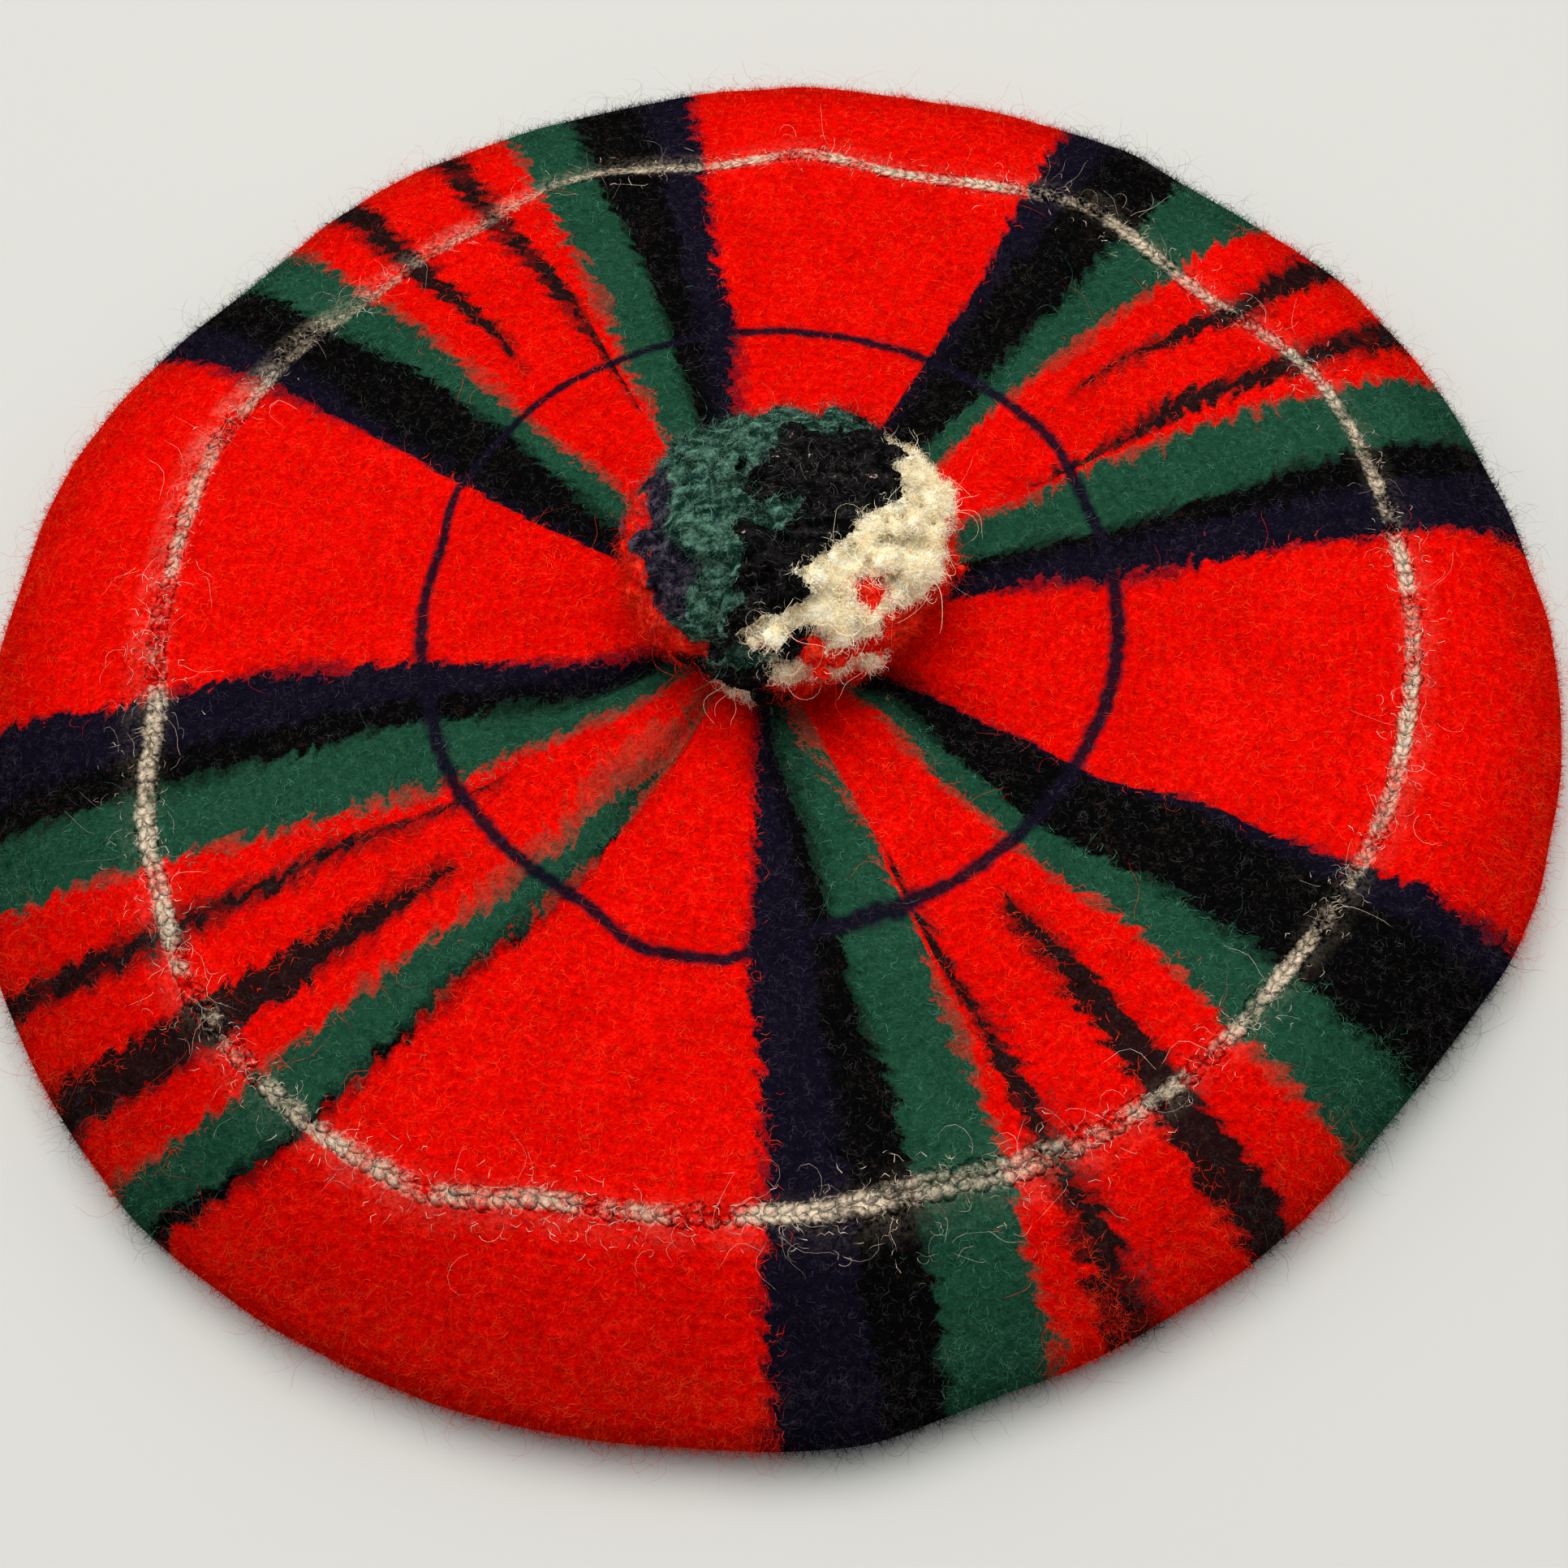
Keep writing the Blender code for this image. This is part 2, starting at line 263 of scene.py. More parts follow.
# The pompom's patches of wool, in runs of one wool: azimuth and elevation in degrees from its middle
Patches = namedtuple("Patches", "wool directions")
PATCH_RUNS = (
    Patches("cream", (
        (51, 23), (59, 19), (69, 15), (80, 10), (101, 24), (90, 38), (117, 19), (109, 45),
        (122, 51), (139, 55), (132, 40), (130, 24), (149, 49), (163, 50), (161, 40), (142, 29),
        (159, 28), (174, 33), (183, 29), (189, 26), (156, 19), (169, 16), (184, 1), (203, -24),
    )),
    Patches("black", ((212, -12), (199, -10))),
    Patches("red", ((216, -30),)),
    Patches("black", ((192, -20),)),
    Patches("red", ((176, -26),)),
    Patches("cream", ((160, -3),)),
    Patches("red", (
        (149, 37), (146, 33), (99, 7), (109, 2), (123, 5), (141, 13), (153, 6), (165, 5),
        (175, 14), (186, -13), (160, -14), (130, -10), (105, -10), (277, 26), (270, 18), (255, 18),
        (236, 6), (226, 6), (60, -14), (20, -14), (330, -16),
    )),
    Patches("black", (
        (219, 85), (49, 70), (51, 50), (45, 26), (103, 67), (86, 56), (167, 66), (134, 66),
        (205, 66), (196, 49), (183, 44), (199, 32), (205, 15), (198, 2), (180, 20), (14, 68),
        (30, 28), (0, 10),
    )),
    Patches("green", (
        (266, 49), (252, 51), (312, 49), (325, 52), (353, 47), (15, 32), (31, 36), (282, 64),
        (252, 70), (228, 59), (225, 51), (216, 41), (218, 34), (220, 18), (212, 21), (302, 45),
        (337, 63), (196, 74), (201, 9), (345, 28), (310, 18),
    )),
    Patches("navy", (
        (271, 38), (258, 31), (246, 40), (234, 41), (237, 21), (228, 26), (293, 36), (305, -8),
        (340, 6),
    )),
)


def smooth(share):
    """Ease from 0 to 1, flat at both ends; on an array too."""
    share = np.clip(share, 0.0, 1.0)
    return share * share * (3.0 - 2.0 * share)


def turn_between(azimuth, other):
    """Degrees between azimuths, the short way round."""
    return np.abs((azimuth - other + 180.0) % 360.0 - 180.0)


def hump(distance, half_width):
    """A smooth hump that is 1 in its middle and 0 past its half width."""
    return smooth(1.0 - distance / half_width)


def bulge(azimuth, row):
    """A table row's hump about its azimuth."""
    return hump(turn_between(azimuth, row.azimuth), row.half_width)


def round_table(azimuth, rows, column):
    """A table's column at these azimuths, eased from row to row all the way round."""
    turns = np.array([row.azimuth for row in rows], float)
    values = np.array([getattr(row, column) for row in rows])
    after = np.searchsorted(turns, azimuth % 360.0, side="right") % len(rows)
    before = after - 1
    span = (turns[after] - turns[before]) % 360.0
    along = (azimuth - turns[before]) % 360.0
    return values[before] + (values[after] - values[before]) * smooth(along / span)


def outline_push(radius, azimuth, start):
    """How far the outline's waves push points out, from nothing at this start."""
    push = smooth((radius - start) / (CROWN_RADIUS - start))
    return 1.0 + (round_table(azimuth, OUTLINE, "share") - 1.0) * push


def unit(vectors):
    """Rows of an array scaled to a length of 1."""
    return vectors / np.linalg.norm(vectors, axis=1)[:, None]


def azimuth_of(points):
    """Azimuth of points about the crown's axis, in degrees."""
    return np.degrees(np.arctan2(points[:, 0], points[:, 1])) % 360.0


def direction(azimuth):
    """Unit vector on the floor for an azimuth in degrees."""
    angle = math.radians(azimuth)
    return Vector((math.sin(angle), math.cos(angle), 0.0))


def chart_starts(reach):
    """Where each wool starts at these reaches, one row of the result for each row of the chart."""
    return np.array([np.interp(reach, CHART_REACHES, rows.starts) for rows in CHART])


def row_places():
    """The place along the knitting at which each wool starts, in degrees."""
    return np.array([rows.starts[ROW_COLUMN] for rows in CHART], float)


def rows_at(azimuth, reach):
    """Place along the knitting, in degrees, at these azimuths and reaches."""
    starts = chart_starts(reach)
    places = row_places()
    first = starts[0]
    azimuth = (azimuth - first) % 360.0 + first
    band = (starts <= azimuth).sum(axis=0) - 1
    columns = np.arange(len(azimuth))
    low = starts[band, columns]
    wrapped = np.vstack([starts[1:], starts[:1] + 360.0])
    high = wrapped[band, columns]
    place_low = places[band]
    place_high = np.append(places[1:], places[0] + 360.0)[band]
    share = np.clip((azimuth - low) / np.maximum(high - low, 1e-6), 0.0, 1.0)
    return place_low + (place_high - place_low) * share


def line_width(azimuth, reach):
    """Width in mm of the nearest line of short rows, which closes towards the middle."""
    starts = chart_starts(reach)
    nearest = np.full(len(azimuth), 1e9)
    width = np.zeros(len(azimuth))
    for number, rows in enumerate(CHART):
        if rows.wool in LINE_DARKNESS:
            low, high = starts[number], starts[number + 1]
            apart = turn_between(azimuth, (low + high) / 2.0)
            closer = apart < nearest
            nearest = np.where(closer, apart, nearest)
            width = np.where(closer, np.radians(high - low) * reach * CROWN_RADIUS / MM, width)
    return width


def teeth(out, place):
    """Steps of the stripes' edges, -1 to 1, for a distance from the middle in mm."""
    return abs((out / TOOTH + place * 0.37) % 1.0 * 2.0 - 1.0) * 2.0 - 1.0


def tooth_share(reach):
    """How deep the steps are at this reach: shallow where the stripes are narrow."""
    return reach * 1.7 - 0.2


def wool_at(place):
    """Each wool's number in the chart at these places along the knitting."""
    places = row_places()
    return np.searchsorted(places, (place - places[0]) % 360.0 + places[0], side="right") - 1


class Socket:
    """A shader value that takes part in Python sums."""

    def __init__(self, finish, output):
        self.finish = finish
        self.output = output

    def maths(self, operation, *values):
        inputs = dict(enumerate(values))
        return self.finish.node("ShaderNodeMath", {"operation": operation}, inputs)

    def __add__(self, other):
        return self.maths("ADD", self, other)

    def __radd__(self, other):
        return self.maths("ADD", other, self)

    def __sub__(self, other):
        return self.maths("SUBTRACT", self, other)

    def __rsub__(self, other):
        return self.maths("SUBTRACT", other, self)

    def __mul__(self, other):
        return self.maths("MULTIPLY", self, other)

    def __rmul__(self, other):
        return self.maths("MULTIPLY", other, self)

    def __truediv__(self, other):
        return self.maths("DIVIDE", self, other)

    def __abs__(self):
        return self.maths("ABSOLUTE", self)

    def __mod__(self, other):
        return self.maths("FLOORED_MODULO", self, other)

    def sine(self):
        return self.maths("SINE", self)

    def clipped(self):
        return self.maths("MINIMUM", self.maths("MAXIMUM", self, 0.0), 1.0)

    def ramp(self, start, gain):
        """0 up to the start, then rising to 1."""
        return ((self - start) * gain).clipped()


class Finish:
    """A material on one Principled shader, built from Python expressions."""

    def __init__(self, name, roughness=0.95, specular=0.0):
        self.material = bpy.data.materials.new(name)
        self.material.use_nodes = True
        self.tree = self.material.node_tree
        self.shader = self.tree.nodes["Principled BSDF"]
        self.shader.inputs["Roughness"].default_value = roughness
        self.shader.inputs["Specular IOR Level"].default_value = specular

    def node(self, kind, settings, inputs, output=0):
        made = self.tree.nodes.new(kind)
        for name, value in settings.items():
            if name == "stops":
                self.set_stops(made.color_ramp, value)
            else:
                setattr(made, name, value)
        for name, value in inputs.items():
            socket = made.inputs[name]
            if isinstance(value, Socket):
                self.tree.links.new(value.output, socket)
            else:
                socket.default_value = value
        return Socket(self, made.outputs[output])

    def set_stops(self, ramp, stops):
        ramp.interpolation = "CONSTANT"
        while len(ramp.elements) < len(stops):
            ramp.elements.new(1.0)
        for element, (place, colour) in zip(ramp.elements, stops):
            element.position = place
            element.color = (*colour, 1.0)

    def attribute(self, name):
        return self.node("ShaderNodeAttribute", {"attribute_name": name}, {}, "Fac")

    def map_sides(self, name):
        """The two coordinates of a UV map."""
        made = self.node("ShaderNodeUVMap", {"uv_map": name}, {})
        split = self.node("ShaderNodeSeparateXYZ", {}, {0: made})
        return split, Socket(self, split.output.node.outputs[1])

    def noise(self, size, detail=2.0, roughness=0.5, stretch=(1, 1, 1)):
        """Noise from 0 to 1 whose blobs are about this size in metres."""
        place = self.node("ShaderNodeTexCoord", {}, {}, "Object")
        at = self.node("ShaderNodeMapping", {}, {"Vector": place, "Scale": stretch})
        inputs = {"Vector": at, "Scale": 1.0 / size, "Detail": detail, "Roughness": roughness}
        return self.node("ShaderNodeTexNoise", {}, inputs)

    def mix(self, share, below, above):
        """Colour mix: below at share 0, above at share 1."""
        below, above = ((*c, 1.0) if isinstance(c, tuple) else c for c in (below, above))
        return self.node("ShaderNodeMix", {"data_type": "RGBA"}, {0: share, 6: below, 7: above}, 2)

    def scaled(self, colour, factor):
        """A colour times a value."""
        settings = {"operation": "SCALE"}
        return self.node("ShaderNodeVectorMath", settings, {0: colour, "Scale": factor})

    def colour(self, value):
        self.tree.links.new(value.output, self.shader.inputs["Base Color"])

    def relief(self, height):
        """Bump from a height in metres."""
        bump = self.node("ShaderNodeBump", {}, {"Height": height, "Distance": 1.0, "Strength": 1.0})
        self.tree.links.new(bump.output, self.shader.inputs["Normal"])


def felted(finish):
    """Mottling about 0 and relief in metres of milled wool."""
    fine = finish.noise(0.00055, detail=3.0, roughness=0.7) - 0.5
    clumps = finish.noise(0.0015, detail=2.0) - 0.5
    drift = finish.noise(0.011, detail=2.0) - 0.5
    mottle = 1.35 * fine + 0.8 * clumps + 0.35 * drift
    return mottle, 0.00045 * fine + 0.0006 * clumps


def ring_mask(finish, name):
    """Where a ring of stitches lies, softened by felting."""
    across = abs(finish.attribute(name))
    frayed = finish.noise(0.0022, detail=3.0, roughness=0.7)
    return ((1.15 - across) * 1.5 + (frayed - 0.5) * 2.4).clipped()


def base_stops():
    """The stripes without their lines, as stops of a colour ramp once round."""
    stops = [(0.0, RED)]
    for start, rows in zip(row_places(), CHART):
        if rows.wool in WOOLS and WOOLS[rows.wool] != stops[-1][1]:
            stops.append((start / 360.0, WOOLS[rows.wool]))
    stops.append((1.0 + row_places()[0] / 360.0, RED))
    return stops


def line_stops():
    """The lines' darkness, as stops of a ramp once round."""
    stops = [(0.0, (0.0, 0.0, 0.0))]
    for number, rows in enumerate(CHART):
        dark = LINE_DARKNESS.get(rows.wool, 0.0)
        if dark != stops[-1][1][0]:
            stops.append((row_places()[number] / 360.0, (dark, dark, dark)))
    return stops


def striped(finish, rows, out, shift, frayed, open_line):
    """The stripes and their lines, averaged over three places so that each edge has a veil."""
    veil = 0.35 + finish.noise(VEIL_SIZE, detail=1.0).ramp(0.42, 4.0) * 1.3
    dashes = finish.noise(DASH_SIZE, detail=1.0).ramp(0.44, 7.0)
    samples = []
    for side in (-1.0, 0.0, 1.0):
        across = shift + frayed * EDGE_FRAY + side * veil
        place = (rows + across / out.maths("MAXIMUM", out, SHIFT_FROM) * DEGREES) % 360.0
        colour, lines = (
            finish.node("ShaderNodeValToRGB", {"stops": stops}, {"Fac": place / 360.0})
            for stops in (base_stops(), line_stops())
        )
        dark = (lines * 3.0 - (1.0 - dashes) * 1.2).clipped() * open_line
        samples.append(finish.mix(dark, colour, LINE_BLACK))
    return finish.mix(1.0 / 3.0, finish.mix(0.5, samples[0], samples[2]), samples[1])


def tartan_finish():
    """Milled wool striped by its rows, with the navy and the white ring."""
    finish = Finish("milled_tartan_wool")
    rows, reach = finish.map_sides("knit")
    rows = rows * 360.0
    out = reach * (CROWN_RADIUS / MM)

    uneven = finish.noise(WANDER_SIZE, detail=1.0)
    ragged = finish.noise(RAG_SIZE, detail=2.0) - 0.5
    frayed = finish.noise(FRAY_SIZE, detail=3.0, roughness=0.7) - 0.5
    deep = tooth_share(reach).clipped()
    shift = teeth(out + (uneven - 0.5) * TOOTH_DRIFT, rows) * TOOTH_DEPTH * (2.4 * uneven - 0.1)
    shift = (shift + (uneven - 0.5) * EDGE_WANDER + ragged * EDGE_RAG) * (0.25 + 0.75 * deep)
    open_line = (finish.attribute("line_width") + ragged * 1.5).ramp(0.5, 2.0)
    stripes = striped(finish, rows, out, shift, frayed, open_line)

    stripes = finish.mix(ring_mask(finish, "navy_ring") * 0.97, stripes, NAVY)
    blotch = finish.noise(BLOTCH_SIZE, detail=2.0)
    bare = finish.noise(BARE_SIZE, detail=1.0) - 0.5
    wear = finish.attribute("wear")
    thick = (0.50 + (blotch - 0.5) * 2.4 + bare * 2.6 + frayed * 1.8).clipped()
    white = ring_mask(finish, "white_ring") * (thick * (1.0 - WORN_SHARE * wear))
    stripes = finish.mix(white, stripes, CREAM)
    halo = ((3.0 - abs(finish.attribute("white_ring") - 0.7 - wear)) * 0.4).clipped()
    halo = halo * ((frayed + 0.08) * 4.0 + (blotch - 0.45) * 2.0).clipped()
    stripes = finish.mix(halo * (HALO_SHARE + WORN_HALO_SHARE * wear), stripes, CREAM)

    mottle, relief = felted(finish)
    ribs = (out * (2.0 * math.pi / FELT_RIB) + ragged * 1.5).sine()
    shade = FELT_SHADE + mottle * (1.0 - 0.6 * white) + 0.04 * ribs
    # The shade attribute is painted shade: darker on the near shoulder and round the rim
    shade = shade * finish.attribute("shade")
    bright = finish.scaled(stripes, shade.maths("MAXIMUM", shade, 0.2))
    finish.colour(finish.mix(mottle.ramp(0.12, 3.0) * 0.022, bright, FLECK))
    finish.relief(relief + ribs * 0.00004)
    return finish.material


def wool_finish(name, wool, tips, share=0.5):
    """Loose wool of one colour, mottled towards the colour of its tips."""
    finish = Finish(name)
    mottle = finish.noise(0.0016, detail=2.0)
    broad = finish.noise(0.006, detail=1.0)
    toward = ((mottle - 0.5) * 5.0 * share + (broad - 0.5) * share + 0.4).clipped()
    # The shade attribute is each fibre's own tone; on the crown's fibres it also holds painted shade
    # of the near shoulder and rim
    finish.colour(finish.scaled(finish.mix(toward, wool, tips), finish.attribute("shade")))
    finish.relief(0.0001 * mottle)
    return finish.material


def linked(name, data):
    """A new object in the scene's collection."""
    obj = bpy.data.objects.new(name, data)
    bpy.context.scene.collection.objects.link(obj)
    return obj


def write_values(mesh, name, values):
    """A value at each point of a mesh, for its shader."""
    mesh.attributes.new(name, "FLOAT", "POINT").data.foreach_set("value", values)


def read_values(items, name, width=1, kind=float):
    """One property of many items as an array."""
    values = np.empty(len(items) * width, kind)
    items.foreach_get(name, values)
    return values.reshape(-1, width) if width > 1 else values


def object_from(name, mesh, material):
    """A finished mesh, shaded smooth, that rides on the hat's one body and takes a finish slot."""
    mesh.shade_smooth()
    obj = linked(name, mesh)
    mesh.materials.append(material)
    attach(obj, "root")
    return obj


def spun(points, steps):
    """Turn a section of (radius, height) points once round +Z."""
    bm = bmesh.new()
    verts = [bm.verts.new((0.0, radius, height)) for radius, height in points]
    edges = [bm.edges.new(pair) for pair in zip(verts, verts[1:])]
    bmesh.ops.spin(
        bm, geom=verts + edges, cent=(0, 0, 0), axis=(0, 0, -1),
        angle=math.tau, steps=steps, use_merge=True,
    )
    bmesh.ops.remove_doubles(bm, verts=bm.verts, dist=1e-6)
    bmesh.ops.recalc_face_normals(bm, faces=bm.faces)
    return bm


def mesh_from(bm, name):
    """A mesh from a bmesh, points and faces sorted, as spinning leaves them in chance order."""
    verts = sorted(bm.verts, key=lambda vert: [round(value, 6) for value in vert.co])
    numbers = {vert: number for number, vert in enumerate(verts)}
    faces = []
    for face in bm.faces:
        corners = [numbers[vert] for vert in face.verts]
        first = corners.index(min(corners))
        faces.append(corners[first:] + corners[:first])
    mesh = bpy.data.meshes.new(name)
    mesh.from_pydata([vert.co[:] for vert in verts], [], sorted(faces))
    bm.free()
    return mesh


def vertex_array(mesh):
    """A mesh's points as an array."""
    return read_values(mesh.vertices, "co", 3)


def waves(points, size, seed):
    """Smooth noise from -1 to 1 at these points, with humps of about this size."""
    shift = Vector((seed * 7.31, seed * 3.77, seed * 5.13))
    return np.array([noise.noise(Vector(point) / size + shift) for point in points])


def flowing(rows, per_row):
    """Points along a table's rows on a Catmull-Rom curve."""
    points = [np.array(row, float) for row in rows]
    points = [2 * points[0] - points[1]] + points + [2 * points[-1] - points[-2]]
    made = []
    for a, b, c, d in zip(points, points[1:], points[2:], points[3:]):
        for step in range(per_row):
            t = step / per_row
            square = (2 * a - 5 * b + 4 * c - d) * t * t
            made.append(0.5 * (2 * b + (c - a) * t + square + (3 * b - a - 3 * c + d) * t ** 3))
    made.append(points[-2])
    return made


def crown_section(height, opening):
    """Rows of radius, height and chart reach, from the middle of the top to the head opening."""
    rows = [(p[0] * CROWN_RADIUS, p[1] * height) for p in flowing(TOP, 5)]
    flat = CROWN_RADIUS - RIM_OVERHANG
    rows += [(flat + (opening - flat) * step / 12.0, 0.0) for step in range(13)]
    reaches = []
    reach = 0.0
    for number, (radius, _) in enumerate(rows):
        widest = number and reach >= 0.999
        step = math.dist(rows[number], rows[number - 1]) if number else 0.0
        reach = reach + step / CROWN_RADIUS if widest else radius / CROWN_RADIUS
        reaches.append(reach)
    return rows, np.array(reaches)


def crown_top_height(azimuth, reach):
    """How much the gathers and the broad hollows lower the top, as a share of its height."""
    depth = np.zeros(len(reach))
    rise = smooth((reach - GATHER_FROM) / (GATHER_FULL - GATHER_FROM))
    for row in GATHERS:
        fade = smooth((row.reach - reach) / (row.reach - GATHER_FULL))
        depth += row.depth * rise * fade * bulge(azimuth, row)
    for row in SWELLS:
        along = hump(np.abs(reach - row.middle), row.half_length)
        depth += row.depth * along * bulge(azimuth, row)
    return depth


def ring_offset(azimuth, reach, ring):
    """Distance from a ring's middle, in half widths."""
    half_width = round_table(azimuth, ring, "width") / 2.0
    return (reach - round_table(azimuth, ring, "reach")) / half_width


def crown_axis():
    """The crown's axis, which the middle of its outline is moved from."""
    azimuths = np.arange(0, 360, 4.0)
    share = round_table(azimuths, OUTLINE, "share") * CROWN_RADIUS
    x = share * np.sin(np.radians(azimuths))
    y = share * np.cos(np.radians(azimuths))
    return Vector((-(x.min() + x.max()) / 2.0, -(y.min() + y.max()) / 2.0, 0.0))


def painted_shoulder_and_rim_shade(azimuth, chart):
    """Painted shade, as a factor on the colour: darker past the white ring on the near side, gently
    darker there from about a third of the way out, and darker round the rim.
    """
    near = hump(turn_between(azimuth, DROOP.azimuth), DROOP.half_width + 10)
    past = 0.75 * smooth((chart - 0.79) / 0.10) + 0.25 * smooth((chart - 0.35) / 0.40)
    rim = smooth((chart - 0.86) / 0.10)
    return (1.0 - DROOP_PAINTED_SHADE * past * near) * (1.0 - RIM_PAINTED_SHADE * rim)


def ring_wear(azimuth):
    """The white ring is worn faint and fuzzy on the far left."""
    return hump(turn_between(azimuth, WORN_AZIMUTH), WORN_HALF_WIDTH)


def write_rings(mesh, azimuth, chart):
    """Row map, rings, lines and painted shade, at each point's azimuth and reach."""
    write_map(mesh, "knit", rows_at(azimuth, chart) / 360.0, 1.0, chart)
    values = {
        "white_ring": ring_offset(azimuth, chart, WHITE_RING),
        "navy_ring": ring_offset(azimuth, chart, NAVY_RING),
        "reach": chart,
        "line_width": line_width(azimuth, chart),
        "shade": painted_shoulder_and_rim_shade(azimuth, chart),
        "wear": ring_wear(azimuth),
    }
    for name, column in values.items():
        write_values(mesh, name, column)


def make_crown(axis, material):
    """The felted shell, spun, pushed to its outline, gathered and rumpled, then given its wall."""
    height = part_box("crown")[1].z
    opening = (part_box("headband")[1].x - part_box("headband")[0].x) / 2.0 + HEAD_GAP
    rows, reaches = crown_section(height, opening)
    mesh = mesh_from(spun(rows, AROUND), "crown_felt")
    points = vertex_array(mesh)
    radius = np.hypot(points[:, 0], points[:, 1])
    section = np.array(rows)
    apart = np.abs(radius[:, None] - section[None, :, 0])
    apart += np.abs(points[:, 2:] - section[None, :, 1])
    chart = reaches[np.argmin(apart, axis=1)]
    azimuth = azimuth_of(points)
    top = smooth((points[:, 2] / height - 0.35) / 0.3)
    rumple = waves(points, 0.022, 1) * 0.0005 + waves(points, 0.009, 2) * 0.00028
    under = smooth((chart - 1.0) / 0.1)
    droop = DROOP.depth * smooth((chart - 0.78) / 0.12) * smooth((1.0 - chart) / 0.08)
    droop = droop * bulge(azimuth, DROOP)
    points[:, 2] += (rumple - droop - height * crown_top_height(azimuth, chart)) * top
    push = outline_push(radius, azimuth, opening)
    push += waves(points, 0.012, 3) * 0.003 * smooth((chart - 0.85) / 0.15) * (1.0 - under)
    points[:, :2] *= push[:, None]
    points += np.array(axis)
    mesh.vertices.foreach_set("co", points.ravel())

    write_rings(mesh, azimuth, chart)
    mesh.update()

    crown = object_from("crown_felt", mesh, material)
    wall = crown.modifiers.new("wall", "SOLIDIFY")
    wall.thickness = WALL
    wall.offset = -1.0
    wall.use_even_offset = True
    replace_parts(crown, "crown")
    return crown


def arrays_to_object(name, points, triangles, material, slot):
    """An object from arrays of points and triangles."""
    mesh = bpy.data.meshes.new(name)
    mesh.vertices.add(len(points))
    mesh.vertices.foreach_set("co", points.ravel())
    mesh.loops.add(triangles.size)
    mesh.loops.foreach_set("vertex_index", triangles.ravel().astype(np.int32))
    mesh.polygons.add(len(triangles))
    mesh.polygons.foreach_set("loop_start", np.arange(0, triangles.size, 3, dtype=np.int32))
    mesh.update(calc_edges=True)
    return object_from(name, mesh, material)


def shape_arrays(bm):
    """A small bmesh as arrays of points and triangles."""
    bmesh.ops.triangulate(bm, faces=bm.faces)
    bm.verts.index_update()
    points = np.array([vert.co[:] for vert in bm.verts])
    faces = np.array([[vert.index for vert in face.verts] for face in bm.faces])
    bm.free()
    return points, faces


def copies(shape, places, frames, sizes):
    """Copies of a small shape as arrays; frames hold each copy's across, along and up columns."""
    points, faces = shape
    scaled = points[None, :, :] * sizes[:, None, :]
    made = places[:, None, :] + np.einsum("nvj,nij->nvi", scaled, frames)
    offsets = np.arange(len(places))[:, None, None] * len(points)
    return made.reshape(-1, 3), (faces[None] + offsets).reshape(-1, 3)


def joined(parts):
    """Several arrays of points and triangles as one pair."""
    shifts = np.cumsum([0] + [len(points) for points, _ in parts[:-1]])
    points = np.concatenate([points for points, _ in parts])
    return points, np.concatenate([faces + shift for (_, faces), shift in zip(parts, shifts)])


# A fibre's path: how far it turns and sways in radians, its number of sways, and its rise
Curl = namedtuple("Curl", "turn sway waves rise")
SHORT_CURLS = (
    Curl(1.9, 0.3, 1.0, 0.10),
    Curl(-2.4, 0.5, 1.5, 0.14),
    Curl(0.6, 0.8, 1.5, 0.12),
    Curl(-0.7, 0.6, 1.0, 0.20),
)
LONG_CURLS = (
    Curl(1.8, 0.35, 0.8, 0.08),
    Curl(-1.0, 0.50, 1.0, 0.10),
    Curl(-3.0, 0.30, 0.7, 0.06),
    Curl(0.5, 0.55, 1.0, 0.08),
)

# A sort of fibre: its curls and segments, then its length and width in mm with what chance adds
Fibre = namedtuple("Fibre", "curls segments length longer power width wider")
NAP = Fibre(SHORT_CURLS, 2, 1.0, 1.7, 1.0, 0.07, 0.06)
HAIR = Fibre(LONG_CURLS, 6, 3.0, 8.0, 2.0, 0.026, 0.026)
CREAM_FUZZ = Fibre(SHORT_CURLS, 3, 1.2, 1.6, 1.5, 0.06, 0.05)
DARK_FUZZ = CREAM_FUZZ._replace(longer=3.2)
LOOSE_END = Fibre(LONG_CURLS, 9, 4.0, 7.0, 1.0, 0.036, 0.024)


def fibre_shape(curl, segments):
    """A tapering ribbon: its middle line in lengths, its sides in widths, and its faces."""
    bm = bmesh.new()
    bmesh.ops.create_grid(bm, x_segments=1, y_segments=segments, size=0.5)
    tip = [vert for vert in bm.verts if vert.co.y > 0.49]
    bmesh.ops.pointmerge(bm, verts=tip, merge_co=(0.0, 0.5, 0.0))
    flat, faces = shape_arrays(bm)
    along = flat[:, 1] + 0.5
    steps = np.linspace(0.0, 1.0, 97)
    heading = curl.turn * steps + curl.sway * np.sin(math.tau * curl.waves * steps)
    across = np.interp(along, steps, np.cumsum(np.sin(heading)) / len(steps))
    forward = np.interp(along, steps, np.cumsum(np.cos(heading)) / len(steps))
    rise = curl.rise * np.sin(math.pi * along * 0.9) - 0.02
    heading = np.interp(along, steps, heading)
    width = flat[:, 0] * (1.0 - 0.5 * along)
    sides = np.stack([width * np.cos(heading), -width * np.sin(heading), 0.0 * width], -1)
    return np.stack([across, forward, rise], -1), sides, faces


def lying_frames(normals, rng, lift, way=None):
    """A way along the surface for each fibre, random if none is given, tipped up by its lift."""
    if way is None:
        way = rng.normal(size=normals.shape)
    way = unit(way - normals * (way * normals).sum(axis=1)[:, None])
    across = np.cross(way, normals)
    tipped = way * np.cos(lift)[:, None] + normals * np.sin(lift)[:, None]
    return np.stack([across, tipped, np.cross(across, tipped)], axis=2)


